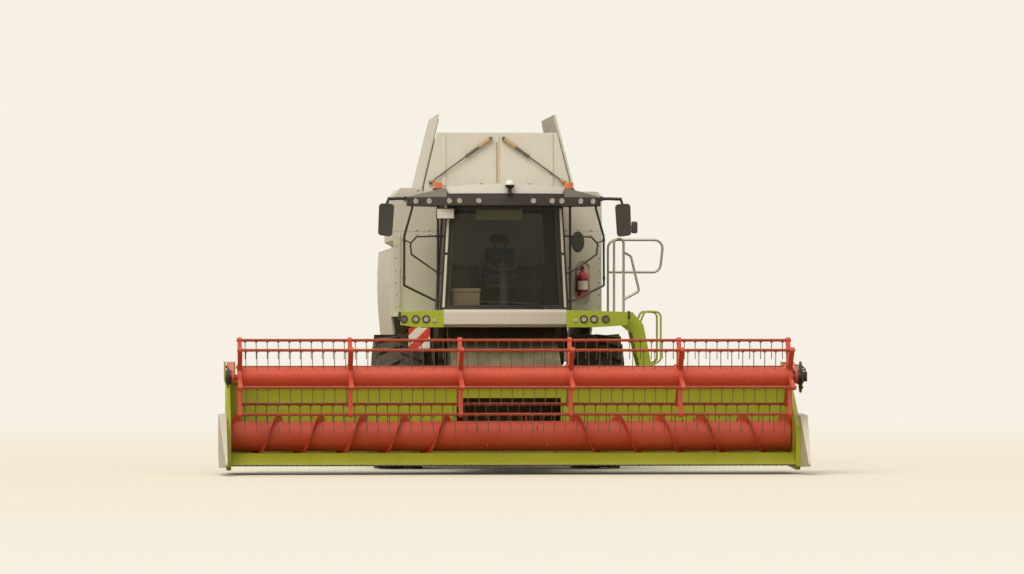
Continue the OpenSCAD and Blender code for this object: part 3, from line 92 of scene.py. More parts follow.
# Where one piece changes its finish, in metres of the scene
WING_INNER = 0.8
WING_SEAM = 3.715
OUTER_LAMPS = 1.3
BEACON_BASE = 3.78
TAIL_LAMPS = 3.0
LOW_PLATES = 2.3
TINE_ROOT = 0.045


def linear(code):
    """The linear colour of an sRGB hex value."""
    channels = [int(code[i : i + 2], 16) / 255 for i in (0, 2, 4)]
    return tuple(c / 12.92 if c <= 0.04045 else ((c + 0.055) / 1.055) ** 2.4 for c in channels)


def colour(code, words):
    """A colour property with its default as an sRGB hex value."""
    return FloatVectorProperty(
        name=words, description=f"Colour of the {words.lower()}", subtype="COLOR", size=3, min=0, max=1,
        default=linear(code),
    )


def length(metres, words):
    """A length property in metres."""
    return FloatProperty(name=words, description=words, unit="LENGTH", default=metres, min=0)


class HarvesterPaint(bpy.types.PropertyGroup):
    """Colours of the machine."""

    cream: colour("dcd8cb", "Cream enamel")
    lime: colour("adbe18", "Lime enamel")
    red: colour("dc4a2e", "Red enamel")
    roof_white: colour("f3f3f0", "White roof cap")
    charcoal: colour("343132", "Charcoal plastic")
    shoulder: colour("8f8d89", "Grey roof shoulders")
    black: colour("1d1c1b", "Black enamel")
    zinc: colour("9d9c92", "Galvanised tube")
    bare_steel: colour("8d8b86", "Bare steel")
    rubber: colour("2c2a28", "Tyre rubber")
    soil: colour("8f8168", "Soil on the tyres")
    rust: colour("6f4a32", "Rust film")
    spring: colour("5e574d", "Spring steel")
    # Painted shade: a dark olive given to the feeder house and the threshing housing, which lie in shade
    # under the cab
    shade: colour("57533f", "Painted shade under the cab")
    glass: colour("2a2b1b", "Tinted glass")
    cloth: colour("3a3a40", "Seat cloth")
    amber: colour("f0701a", "Beacon plastic")
    tail_red: colour("a8141c", "Rear lamp plastic")
    reflector: colour("c4bcae", "Lamp reflector")
    unlit: colour("6b5442", "Unlit outer lamp")
    signal_red: colour("cc1f2c", "Extinguisher enamel")
    film_white: colour("e9e6de", "White reflective film")
    film_red: colour("d23628", "Red reflective film")
    tan: colour("bd9f76", "Tan sleeves")
    box_beige: colour("b7a47c", "Storage box")
    blind: colour("8d9164", "Sun blind")
    dust: colour("c3b28e", "Harvest dust")


class HarvesterSizes(bpy.types.PropertyGroup):
    """Sizes of what is added to the frame."""

    edge_radius: length(0.008, "Radius of the folded sheet edges")
    stripe_width: length(0.106, "Width of a hazard stripe")
    nut_width: length(0.046, "Width of a front wheel nut")
    bolt_width: length(0.022, "Width of a body bolt")
    tread_spacing: length(0.06, "Spacing of the tread plate's lugs")
    wheel_nuts: IntProperty(name="Wheel nuts", description="On each wheel", default=10, min=4, max=16)
    pad_voxel: length(0.01, "Voxel of the seat pads")
    pad_swell: length(0.014, "Most that a seat pad swells")
    pad_pressure: FloatProperty(name="Pad pressure", description="Cloth pressure in the pads", default=4)


class HarvesterStage(bpy.types.PropertyGroup):
    """The camera, the lamps and the floor."""

    focal_pixels: FloatProperty(name="Focal length", description="In pixels of the photo", default=5700)
    camera_x: FloatProperty(name="Camera X", description="Sideways place", unit="LENGTH", default=-5.07)
    camera_y: FloatProperty(name="Camera Y", description="Place in front", unit="LENGTH", default=-79.55)
    camera_z: FloatProperty(name="Camera Z", description="Height", unit="LENGTH", default=1.846)
    vanishing_x: FloatProperty(name="Vanishing point", description="Pixel column ahead", default=130)
    horizon_y: FloatProperty(name="Horizon", description="Pixel row of the horizon", default=335)
    backdrop: colour("f6f1e4", "Backdrop and floor")
    sky: colour("fbf8f2", "Light from all round")
    sunlight: colour("fff6e6", "Soft light from above")
    stubble: colour("a8946c", "Light thrown back by the ground")
    sun_strength: FloatProperty(name="Sun strength", description="Soft light from above", default=2.0)
    sky_strength: FloatProperty(name="Sky strength", description="Light from all round", default=0.5)
    near_floor: length(9, "Distance at which the floor starts to fade into the backdrop")
    far_floor: length(45, "Distance at which the floor has faded into the backdrop")


# A colour mix has its factor at input 0 and its colours at 6 and 7. A map range takes 1 to 2 into 3 to 4
COLOUR_MIX = {"out": 2, "data_type": "RGBA"}


def feed(node, inputs):
    """Gives a node its inputs, each as a value or as a socket to link from."""
    for key, value in dict(inputs).items():
        if isinstance(value, bpy.types.NodeSocket):
            node.id_data.links.new(value, node.inputs[key])
        else:
            node.inputs[key].default_value = value


def add(tree, kind, inputs=(), out=0, **settings):
    """Adds a node with its settings and inputs, and gives one output, or the node where out is None."""
    node = tree.nodes.new(kind)
    for name, value in settings.items():
        setattr(node, name, value)
    feed(node, inputs)
    return node if out is None else node.outputs[out]


def shader(name):
    """A new material with its tree, its shader and the Object coordinates."""
    material = bpy.data.materials.new(name)
    material.use_nodes = True
    tree = material.node_tree
    return material, tree, tree.nodes["Principled BSDF"], add(tree, "ShaderNodeTexCoord", out="Object")


def rgba(value, factor=1.0):
    """A colour with full opacity, made darker or lighter by a factor."""
    return (*(min(1.0, c * factor) for c in tuple(value)[:3]), 1.0)


def dust_cover(tree, place, amount):
    """How thick chaff dust lies: on faces that look up, low on the machine, and in patches."""
    normal = add(tree, "ShaderNodeTexCoord", out="Normal")
    up = add(tree, "ShaderNodeSeparateXYZ", {0: normal}, out="Z")
    upward = add(tree, "ShaderNodeMapRange", {0: up, 1: 0.1, 2: 0.95, 3: 0.12, 4: 0.9})
    height = add(tree, "ShaderNodeSeparateXYZ", {0: place}, out="Z")
    low = add(tree, "ShaderNodeMapRange", {0: height, 1: 3.6, 2: 0.3, 3: 0.15, 4: 0.8})
    cover = add(tree, "ShaderNodeMath", {0: upward, 1: low}, operation="MAXIMUM")
    cloud = add(tree, "ShaderNodeTexNoise", {"Vector": place, "Scale": 3.5, "Detail": 5})
    spread = {0: cloud, 1: 0.3, 2: 0.72, 3: 0.35 * amount, 4: 1.15 * amount}
    patches = add(tree, "ShaderNodeMapRange", spread)
    return add(tree, "ShaderNodeMath", {0: cover, 1: patches}, operation="MULTIPLY")


def enamelled(name, base, roughness, dust, coat=0.0, shade=0.12, edge_wear_and_highlight=0.5, dark_side=None):
    """Enamel sprayed on sheet steel: a low sheen, rain streaks, dust, and edges paler from wear and painted
    highlight.
    """
    paint = bpy.context.scene.harvester_paint
    sizes = bpy.context.scene.harvester_sizes
    material, tree, surface, place = shader(name)
    cover = dust_cover(tree, place, dust)
    # Rain streaks about 40 mm apart run down the panels
    drawn = add(tree, "ShaderNodeMapping", {"Vector": place, "Scale": (24, 24, 1.3)})
    rain = add(tree, "ShaderNodeTexNoise", {"Vector": drawn, "Scale": 1, "Detail": 4})
    streaks = add(tree, "ShaderNodeMapRange", {0: rain, 1: 0.42, 2: 0.75, 4: shade})
    faded = add(tree, "ShaderNodeTexNoise", {"Vector": place, "Scale": 0.9, "Detail": 2})
    panels = add(tree, "ShaderNodeMapRange", {0: faded, 1: 0.35, 2: 0.7, 4: shade})
    shaded = add(tree, "ShaderNodeMath", {0: streaks, 1: panels})
    tone = add(tree, "ShaderNodeMix", {0: shaded, 6: rgba(base), 7: rgba(base, 0.62)}, **COLOUR_MIX)
    # The folded edges are rounded, and lighter where they are chipped: partly rubbed paint, partly a
    # painted highlight where the edges catch light
    rounded = add(tree, "ShaderNodeBevel", {"Radius": sizes.edge_radius}, samples=4)
    flat = add(tree, "ShaderNodeNewGeometry", out="Normal")
    turned = add(tree, "ShaderNodeVectorMath", {0: rounded, 1: flat}, out="Value", operation="DOT_PRODUCT")
    edge = add(tree, "ShaderNodeMapRange", {0: turned, 1: 0.97, 2: 0.8, 4: edge_wear_and_highlight})
    chips = add(tree, "ShaderNodeTexNoise", {"Vector": place, "Scale": 30, "Detail": 3})
    chipped = add(tree, "ShaderNodeMapRange", {0: chips, 1: 0.4, 2: 0.6})
    worn_and_lit_edges = add(tree, "ShaderNodeMath", {0: edge, 1: chipped}, operation="MULTIPLY")
    pale = tuple(c + 0.45 * (0.75 - c) for c in base)
    tone = add(tree, "ShaderNodeMix", {0: worn_and_lit_edges, 6: tone, 7: rgba(pale)}, **COLOUR_MIX)
    if dark_side is not None:
        # Beyond a plane the steel is spring grey: the tines under a bar, the struts before a flap
        direction, limit = dark_side
        across = {0: place, 1: direction}
        reach = add(tree, "ShaderNodeVectorMath", across, out="Value", operation="DOT_PRODUCT")
        beyond = add(tree, "ShaderNodeMath", {0: reach, 1: limit}, operation="LESS_THAN")
        tone = add(tree, "ShaderNodeMix", {0: beyond, 6: tone, 7: rgba(paint.spring)}, **COLOUR_MIX)
    tone = add(tree, "ShaderNodeMix", {0: cover, 6: tone, 7: rgba(paint.dust)}, **COLOUR_MIX)
    dull = add(tree, "ShaderNodeMapRange", {0: cover, 2: 0.8, 3: roughness, 4: 0.82})
    # Orange peel and dust grain, drawn at 12 mm so that they show
    grain = add(tree, "ShaderNodeTexNoise", {"Vector": place, "Scale": 80, "Detail": 2})
    peel = {"Strength": 0.12, "Distance": 0.0015, "Height": grain, "Normal": rounded}
    bump = add(tree, "ShaderNodeBump", peel)
    feed(surface, {"Base Color": tone, "Roughness": dull, "Coat Weight": coat, "Normal": bump})
    return material


def moulded(name, base, roughness, dust, top=None):
    """Moulded plastic: a fine leather grain that keeps the sheen broad, faded in patches, and dusty."""
    paint = bpy.context.scene.harvester_paint
    material, tree, surface, place = shader(name)
    cover = dust_cover(tree, place, dust)
    cloud = add(tree, "ShaderNodeTexNoise", {"Vector": place, "Scale": 2.2, "Detail": 4})
    patches = add(tree, "ShaderNodeMapRange", {0: cloud, 1: 0.35, 2: 0.7, 4: 0.35})
    faded = tuple(c + 0.06 * (1 - c) for c in base)
    tone = add(tree, "ShaderNodeMix", {0: patches, 6: rgba(base), 7: rgba(faded)}, **COLOUR_MIX)
    if top is not None:
        # The roof's wings are moulded in a paler grey above their seam
        parts = add(tree, "ShaderNodeSeparateXYZ", {0: place}, out=None).outputs
        across = add(tree, "ShaderNodeMath", {0: parts["X"]}, operation="ABSOLUTE")
        outside = add(tree, "ShaderNodeMath", {0: across, 1: WING_INNER}, operation="GREATER_THAN")
        above = add(tree, "ShaderNodeMath", {0: parts["Z"], 1: WING_SEAM}, operation="GREATER_THAN")
        grey = add(tree, "ShaderNodeMath", {0: outside, 1: above}, operation="MULTIPLY")
        tone = add(tree, "ShaderNodeMix", {0: grey, 6: tone, 7: rgba(top)}, **COLOUR_MIX)
    tone = add(tree, "ShaderNodeMix", {0: cover, 6: tone, 7: rgba(paint.dust)}, **COLOUR_MIX)
    dull = add(tree, "ShaderNodeMapRange", {0: patches, 2: 0.35, 3: roughness, 4: roughness + 0.12})
    # Leather grain, drawn at 6 mm so that it shows
    grain = add(tree, "ShaderNodeTexNoise", {"Vector": place, "Scale": 160, "Detail": 2})
    bump = add(tree, "ShaderNodeBump", {"Strength": 0.25, "Distance": 0.0008, "Height": grain})
    feed(surface, {"Base Color": tone, "Roughness": dull, "Normal": bump})
    return material


def tyre_rubber():
    """Black rubber with carbon filler, dull, browned by soil that packs between the lugs."""
    paint = bpy.context.scene.harvester_paint
    material, tree, surface, place = shader("tyre_rubber")
    soiled = add(tree, "ShaderNodeTexNoise", {"Vector": place, "Scale": 6, "Detail": 6})
    cover = add(tree, "ShaderNodeMapRange", {0: soiled, 1: 0.35, 2: 0.75, 3: 0.1, 4: 0.55})
    both = {0: cover, 6: rgba(paint.rubber), 7: rgba(paint.soil)}
    tone = add(tree, "ShaderNodeMix", both, **COLOUR_MIX)
    crumbs = add(tree, "ShaderNodeTexNoise", {"Vector": place, "Scale": 60, "Detail": 4})
    bump = add(tree, "ShaderNodeBump", {"Strength": 0.5, "Distance": 0.003, "Height": crumbs})
    feed(surface, {"Base Color": tone, "Roughness": 0.85, "Normal": bump})
    return material


def zinc_steel():
    """Hot-dip galvanised tube: grey zinc with spangle about 14 mm wide."""
    paint = bpy.context.scene.harvester_paint
    material, tree, surface, place = shader("galvanised_steel")
    spangle = add(tree, "ShaderNodeTexVoronoi", {"Vector": place, "Scale": 70}, out="Color")
    grey = add(tree, "ShaderNodeRGBToBW", {0: spangle})
    fleck = add(tree, "ShaderNodeMapRange", {0: grey, 1: 0.2, 2: 0.8, 4: 0.6})
    both = {0: fleck, 6: rgba(paint.zinc), 7: rgba(paint.zinc, 1.5)}
    tone = add(tree, "ShaderNodeMix", both, **COLOUR_MIX)
    dull = add(tree, "ShaderNodeMapRange", {0: grey, 3: 0.38, 4: 0.6})
    feed(surface, {"Base Color": tone, "Roughness": dull, "Metallic": 0.6})
    return material


def worked_steel():
    """Bare steel polished by straw, brown in the hollows with a film of rust."""
    paint = bpy.context.scene.harvester_paint
    material, tree, surface, place = shader("bare_steel")
    film = add(tree, "ShaderNodeTexNoise", {"Vector": place, "Scale": 14, "Detail": 6})
    rust = add(tree, "ShaderNodeMapRange", {0: film, 1: 0.45, 2: 0.7, 4: 0.55})
    both = {0: rust, 6: rgba(paint.bare_steel), 7: rgba(paint.rust)}
    tone = add(tree, "ShaderNodeMix", both, **COLOUR_MIX)
    dull = add(tree, "ShaderNodeMapRange", {0: rust, 2: 0.55, 3: 0.3, 4: 0.75})
    metal = add(tree, "ShaderNodeMapRange", {0: rust, 2: 0.55, 3: 0.95, 4: 0.3})
    feed(surface, {"Base Color": tone, "Roughness": dull, "Metallic": metal})
    return material


def tinted_glass():
    """Laminated glass with a green-grey tint: seen through, glossy, with smears of dust."""
    paint = bpy.context.scene.harvester_paint
    material, tree, surface, place = shader("tinted_glass")
    # Smears of dust about 200 mm across dull the gloss
    smears = add(tree, "ShaderNodeTexNoise", {"Vector": place, "Scale": 5, "Detail": 4})
    haze = add(tree, "ShaderNodeMapRange", {0: smears, 1: 0.4, 2: 0.75, 3: 0.02, 4: 0.08})
    feed(surface, {"Base Color": rgba(paint.glass), "Alpha": 0.24, "IOR": 1.5, "Roughness": haze})
    return material


def mirror_glass():
    """Silvered glass: a clear reflection with a haze of dust."""
    paint = bpy.context.scene.harvester_paint
    material, tree, surface, place = shader("mirror_glass")
    smears = add(tree, "ShaderNodeTexNoise", {"Vector": place, "Scale": 12, "Detail": 4})
    haze = add(tree, "ShaderNodeMapRange", {0: smears, 1: 0.4, 2: 0.8, 3: 0.03, 4: 0.25})
    feed(surface, {"Base Color": rgba(paint.reflector), "Metallic": 1, "Roughness": haze})
    return material


def lamp_lens():
    """Ribbed polycarbonate over a reflector, the same in amber on the roof and in red at the tail."""
    paint = bpy.context.scene.harvester_paint
    material, tree, surface, place = shader("lamp_polycarbonate")
    parts = add(tree, "ShaderNodeSeparateXYZ", {0: place}, out=None).outputs
    # Ribs 24 mm apart, coarser than the real ones so that they show: a band is 314 mm over the scale
    ribs = add(tree, "ShaderNodeTexWave", {"Vector": place, "Scale": 13}, out=1, bands_direction="X")
    # The reflector is painted darker in the grooves between the ribs: painted shade in the recesses
    groove_shade = add(tree, "ShaderNodeMapRange", {0: ribs, 4: 0.5})
    both = {0: groove_shade, 6: rgba(paint.reflector), 7: rgba(paint.reflector, 0.45)}
    tone = add(tree, "ShaderNodeMix", both, **COLOUR_MIX)
    across = add(tree, "ShaderNodeMath", {0: parts["X"]}, operation="ABSOLUTE")
    outer = add(tree, "ShaderNodeMath", {0: across, 1: OUTER_LAMPS}, operation="GREATER_THAN")
    high = add(tree, "ShaderNodeMath", {0: parts["Z"], 1: BEACON_BASE}, operation="GREATER_THAN")
    tail = add(tree, "ShaderNodeMath", {0: parts["Y"], 1: TAIL_LAMPS}, operation="GREATER_THAN")
    for where, tint in ((outer, paint.unlit), (high, paint.amber), (tail, paint.tail_red)):
        tone = add(tree, "ShaderNodeMix", {0: where, 6: tone, 7: rgba(tint)}, **COLOUR_MIX)
    bump = add(tree, "ShaderNodeBump", {"Strength": 0.5, "Distance": 0.002, "Height": ribs})
    feed(surface, {"Base Color": tone, "Roughness": 0.15, "Coat Weight": 1, "Normal": bump})
    return material


def hazard_film():
    """Reflective film, with slanting red and white bands on the lower plates and white on the upper."""
    paint = bpy.context.scene.harvester_paint
    sizes = bpy.context.scene.harvester_sizes
    material, tree, surface, place = shader("reflective_film")
    parts = add(tree, "ShaderNodeSeparateXYZ", {0: place}, out=None).outputs
    slant = add(tree, "ShaderNodeMath", {0: parts["Z"], 1: parts["X"]}, operation="SUBTRACT")
    pitch = 1 / (2 * math.sqrt(2) * sizes.stripe_width)
    across = add(tree, "ShaderNodeMath", {0: slant, 1: pitch}, operation="MULTIPLY")
    repeat = add(tree, "ShaderNodeMath", {0: across}, operation="FRACT")
    band = add(tree, "ShaderNodeMath", {0: repeat, 1: 0.5}, operation="GREATER_THAN")
    low = add(tree, "ShaderNodeMath", {0: parts["Z"], 1: LOW_PLATES}, operation="LESS_THAN")
    striped = add(tree, "ShaderNodeMath", {0: band, 1: low}, operation="MULTIPLY")
    both = {0: striped, 6: rgba(paint.film_white), 7: rgba(paint.film_red)}
    tone = add(tree, "ShaderNodeMix", both, **COLOUR_MIX)
    scuffs = add(tree, "ShaderNodeTexNoise", {"Vector": place, "Scale": 18, "Detail": 5})
    worn = add(tree, "ShaderNodeMapRange", {0: scuffs, 1: 0.45, 2: 0.8, 4: 0.3})
    tone = add(tree, "ShaderNodeMix", {0: worn, 6: tone, 7: rgba(paint.dust)}, **COLOUR_MIX)
    feed(surface, {"Base Color": tone, "Roughness": 0.35})
    return material


def woven_cloth():
    """Woven seat cloth: matt, with threads drawn 6 mm apart so that they show, and a soft sheen."""
    paint = bpy.context.scene.harvester_paint
    material, tree, surface, place = shader("seat_cloth")
    threads_per_metre = 1000 / 6
    weave = add(tree, "ShaderNodeTexChecker", {"Vector": place, "Scale": threads_per_metre}, out="Fac")
    light = add(tree, "ShaderNodeMapRange", {0: weave, 4: 0.6})
    both = {0: light, 6: rgba(paint.cloth), 7: rgba(paint.cloth, 1.7)}
    tone = add(tree, "ShaderNodeMix", both, **COLOUR_MIX)
    bump = add(tree, "ShaderNodeBump", {"Strength": 0.4, "Distance": 0.001, "Height": weave})
    feed(surface, {"Base Color": tone, "Roughness": 0.9, "Sheen Weight": 0.3, "Normal": bump})
    return material


def build_materials():
    """Every finish of the machine, by its plain name."""
    paint = bpy.context.scene.harvester_paint
    made = {
        "cream": enamelled("cream_enamel", paint.cream, 0.42, 0.18),
        "lime": enamelled("lime_enamel", paint.lime, 0.3, 0.12, coat=0.2, edge_wear_and_highlight=0.3),
        "red": enamelled("red_enamel", paint.red, 0.4, 0.12, shade=0.2),
        "white": moulded("roof_cap_white", paint.roof_white, 0.3, 0.05),
        "charcoal": moulded("charcoal_plastic", paint.charcoal, 0.5, 0.1),
        "roof": moulded("roof_charcoal_and_grey", paint.charcoal, 0.5, 0.1, top=paint.shoulder),
        "black": enamelled("black_enamel", paint.black, 0.35, 0.1, edge_wear_and_highlight=0.2),
        # Painted shade under the cab: the feeder house and the threshing housing in dark olive
        "shade": enamelled("olive_painted_shade", paint.shade, 0.6, 0.3, edge_wear_and_highlight=0.2),
        "zinc": zinc_steel(),
        "steel": worked_steel(),
        "rubber": tyre_rubber(),
        "glass": tinted_glass(),
        "mirror": mirror_glass(),
        "cloth": woven_cloth(),
        "lens": lamp_lens(),
        "signal_red": enamelled("signal_red_enamel", paint.signal_red, 0.25, 0.03, coat=0.4, edge_wear_and_highlight=0.2),
        "film": hazard_film(),
        "tan": moulded("tan_sleeves", paint.tan, 0.6, 0.25),
        "beige": moulded("beige_polypropylene", paint.box_beige, 0.45, 0.1),
        "blind": moulded("blind_film", paint.blind, 0.4, 0.05),
    }
    # Painted shade: the tine bars take the reel's red enamel darkened to 0.6, darker than the same paint on
    # the tube
    shaded_bar_red = rgba(paint.red, 0.6)[:3]
    for k in range(1, 7):
        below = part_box(f"tine_bar_{k}")[1][2] - TINE_ROOT
        made[f"tine_bar_{k}"] = enamelled(
            f"shaded_red_enamel_and_tines_{k}", shaded_bar_red, 0.4, 0.12, shade=0.2, dark_side=((0, 0, 1), below)
        )
    for end, way in (("front", 1), ("rear", -1)):
        direction = Vector((0, way * math.cos(FLAP_LEAN), -math.sin(FLAP_LEAN)))
        limit = direction.dot(cad(0, FLAP_HINGES[end], FLAP_HINGE_Z)) - STRUT_BACK / 1000
        made[f"tank_flap_{end}"] = enamelled(
            f"cream_enamel_and_struts_{end}", paint.cream, 0.42, 0.18, dark_side=(direction, limit)
        )
    return made


FINISHES = {}
SLOT_FINISH = {
    "painted_red": "red", "painted_green": "lime", "painted_cream": "cream", "white_plastic": "white",
    "dark_plastic": "charcoal", "dark_metal": "black", "galvanised": "zinc", "steel": "steel",
    "tyre_rubber": "rubber", "cab_glass": "glass", "seat_cloth": "cloth", "lamp_lens": "lens",
    "extinguisher_red": "signal_red", "marker_plate": "film",
}
NODE_FINISH = {
    "cab_roof": "roof", "feeder_house": "shade", "threshing_housing": "shade",
    "tank_flap_front": "tank_flap_front", "tank_flap_rear": "tank_flap_rear",
    **{f"tine_bar_{k}": f"tine_bar_{k}" for k in range(1, 7)},
}


def cad(x, y, z):
    """A point of the part's source, in millimetres, as a point of this scene, in metres."""
    return Vector((x, y - SETBACK, z)) / 1000


def on_floor(x, y, z):
    """A point above the cab's floor, in millimetres of the part's source."""
    return (x, y, FLOOR_TOP + z)


def facing(direction):
    """The turn that points a shape's upward side in a direction."""
    return Vector((0, 0, 1)).rotation_difference(Vector(direction)).to_euler()


def struck(node, start, way):
    """Where a line from a point in millimetres first meets a frame piece, and the turn that faces out."""
    found, point, normal, _ = frame["nodes"][node].ray_cast(cad(*start), Vector(way))
    return (point, facing(normal)) if found else None


def along(node, starts, way):
    """The places and turns where lines from many points meet a frame piece."""
    return [spot for spot in (struck(node, start, way) for start in starts) if spot]


def block(work, low, high, radius=6, segments=2):
    """A box with rounded edges between two corners, in millimetres."""
    low, high = cad(*map(min, low, high)), cad(*map(max, low, high))
    made = bmesh.ops.create_cube(work, size=1)["verts"]
    for vertex in made:
        vertex.co = Vector([low[i] + (high[i] - low[i]) * (vertex.co[i] + 0.5) for i in range(3)])
    edges = {edge for vertex in made for edge in vertex.link_edges}
    reach = min(radius / 1000, 0.45 * min(high - low))
    bmesh.ops.bevel(work, geom=list(edges), offset=reach, segments=segments, profile=0.5, affect="EDGES")


def lathe(work, profile, centre, axis=(0, 0, 1), sides=32, ring=False):
    """Turns an outline of (radius, distance along the axis), in millimetres, round an axis."""
    middle = cad(*centre)
    turn = Vector((0, 0, 1)).rotation_difference(Vector(axis)).to_matrix()
    rows = []
    for radius, distance in profile:
        row = []
        for k in range(sides):
            angle = 2 * math.pi * k / sides
            point = Vector((radius * math.cos(angle), radius * math.sin(angle), distance)) / 1000
            row.append(work.verts.new(middle + turn @ point) if radius or not k else row[0])
        rows.append(row)
    pairs = list(zip(rows, rows[1:]))
    if ring:
        pairs.append((rows[-1], rows[0]))
    for low, high in pairs:
        for k in range(sides):
            m = (k + 1) % sides
            corners = list(dict.fromkeys((low[k], low[m], high[m], high[k])))
            if len(corners) > 2:
                work.faces.new(corners)


def bent(path, radius, steps=5):
    """A path with its inner corners rounded, in millimetres."""
    points = [Vector(point) for point in path]
    made = [points[0]]
    for before, corner, after in zip(points, points[1:], points[2:]):
        start = corner + (before - corner).normalized() * radius
        end = corner + (after - corner).normalized() * radius
        for k in range(steps + 1):
            t = k / steps
            made.append(start * (1 - t) ** 2 + corner * 2 * t * (1 - t) + end * t**2)
    return [*made, points[-1]]


def tube(work, path, radius, sides=10):
    """A round bar along a path of points in millimetres."""
    points = [cad(*point) for point in path]
    rings = []
    side = None
    for k, point in enumerate(points):
        ahead = (points[min(k + 1, len(points) - 1)] - points[max(k - 1, 0)]).normalized()
        side = ahead.orthogonal() if side is None else side
        side = (side - ahead * side.dot(ahead)).normalized()
        other = ahead.cross(side)
        turns = [2 * math.pi * n / sides for n in range(sides)]
        spokes = [side * math.cos(t) + other * math.sin(t) for t in turns]
        rings.append([work.verts.new(point + spoke * radius / 1000) for spoke in spokes])
    for low, high in zip(rings, rings[1:]):
        for k in range(sides):
            m = (k + 1) % sides
            work.faces.new((low[k], low[m], high[m], high[k]))
    work.faces.new(rings[0])
    work.faces.new(reversed(rings[-1]))


def shell(work, front, back):
    """A plate between two outlines of points, in metres."""
    rows = [[work.verts.new(point) for point in row] for row in (front, back)]
    count = len(rows[0])
    work.faces.new(rows[0])
    work.faces.new(reversed(rows[1]))
    for k in range(count):
        m = (k + 1) % count
        work.faces.new((rows[0][k], rows[1][k], rows[1][m], rows[0][m]))


def on_cylinder(x, z, radius):
    """The point at a height, a distance to the side and a distance from the windscreen's axis."""
    return (x, SCREEN_AXIS - math.sqrt(radius**2 - x**2), z)


def curved_panel(work, corners, outer, inner, steps=24):
    """A strip bent like the windscreen, between corners (x, z) from the lower left anticlockwise."""
    low_left, low_right, high_right, high_left = (Vector(corner) for corner in corners)
    rows = []
    for radius in (outer, inner):
        for left, right in ((low_left, low_right), (high_left, high_right)):
            line = [left.lerp(right, k / steps) for k in range(steps + 1)]
            rows.append([work.verts.new(cad(*on_cylinder(p[0], p[1], radius))) for p in line])
    low, high, back_low, back_high = rows
    for a, b in ((low, high), (high, back_high), (back_high, back_low), (back_low, low)):
        for k in range(steps):
            work.faces.new((a[k], a[k + 1], b[k + 1], b[k]))
    for k in (0, steps):
        work.faces.new((low[k], high[k], back_high[k], back_low[k]))


def flat_plate(work, outline, y, thickness):
    """A plate that faces front, with its outline of (x, z) in millimetres."""
    shell(work, [cad(x, y, z) for x, z in outline], [cad(x, y + thickness, z) for x, z in outline])


def oval(centre_x, centre_z, half_width, half_height, steps=32):
    """The outline of an oval in (x, z)."""
    turns = [2 * math.pi * k / steps for k in range(steps)]
    return [(centre_x + half_width * math.cos(t), centre_z + half_height * math.sin(t)) for t in turns]


def dressed(name, mesh, finish, body):
    """A new object at the origin, with its finish, riding on a body."""
    piece = bpy.data.objects.new(name, mesh)
    bpy.context.scene.collection.objects.link(piece)
    mesh.materials.clear()
    mesh.materials.append(FINISHES[finish])
    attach(piece, body)
    return piece


def made_of(name, work, finish, body="chassis"):
    """Turns mesh work into a finished piece with its faces outwards and its curves smooth."""
    bmesh.ops.remove_doubles(work, verts=work.verts, dist=1e-6)
    bmesh.ops.recalc_face_normals(work, faces=work.faces)
    mesh = bpy.data.meshes.new(name)
    work.to_mesh(mesh)
    work.free()
    for face in mesh.polygons:
        face.use_smooth = True
    mesh.set_sharp_from_angle(angle=math.radians(35))
    return dressed(name, mesh, finish, body)


def plain_mesh(piece):
    """The mesh of an object with its modifiers worked out, in place of them."""
    graph = bpy.context.evaluated_depsgraph_get()
    made = bpy.data.meshes.new_from_object(piece.evaluated_get(graph), depsgraph=graph)
    piece.modifiers.clear()
    return made


def repeated(name, tree, spots, values, finish, body="chassis"):
    """Puts a tree's shape at every spot of a body, each a place in metres and a turn."""
    points = bpy.data.meshes.new(name)
    points.from_pydata([place for place, _ in spots], [], [])
    turn = points.attributes.new("turn", "FLOAT_VECTOR", "POINT")
    for item, (_, value) in zip(turn.data, spots):
        item.vector = value
    holder = bpy.data.objects.new(f"{name}_places", points)
    bpy.context.scene.collection.objects.link(holder)
    modifier = holder.modifiers.new("repeat", "NODES")
    modifier.node_group = TREES[tree]
    values = {**values, "Finish": FINISHES[finish]}
    for socket in TREES[tree].interface.items_tree:
        if socket.in_out == "INPUT" and socket.name in values:
            modifier[socket.identifier] = values[socket.name]
    made = plain_mesh(holder)
    bpy.data.objects.remove(holder)
    made.name = name
    return dressed(name, made, finish, body)


def repeat_tree(name, sockets):
    """A tree with its named sizes, and what it is given."""
    tree = bpy.data.node_groups.new(name, "GeometryNodeTree")
    tree.interface.new_socket("Geometry", in_out="INPUT", socket_type="NodeSocketGeometry")
    for words, (kind, default) in sockets.items():
        socket = tree.interface.new_socket(words, in_out="INPUT", socket_type=f"NodeSocket{kind}")
        socket.default_value = default
    tree.interface.new_socket("Finish", in_out="INPUT", socket_type="NodeSocketMaterial")
    tree.interface.new_socket("Geometry", in_out="OUTPUT", socket_type="NodeSocketGeometry")
    return tree, add(tree, "NodeGroupInput", out=None).outputs


def end_tree(tree, given, shape):
    """Instances the shape on the places with their turns, realizes them and sets their material."""
    turn = add(tree, "GeometryNodeInputNamedAttribute", {"Name": "turn"}, data_type="FLOAT_VECTOR")
    spread = {"Points": given["Geometry"], "Instance": shape, "Rotation": turn}
    placed = add(tree, "GeometryNodeInstanceOnPoints", spread)
    real = add(tree, "GeometryNodeRealizeInstances", {0: placed})
    finished = add(tree, "GeometryNodeSetMaterial", {"Geometry": real, "Material": given["Finish"]})
    add(tree, "NodeGroupOutput", {0: finished}, out=None)
    return tree


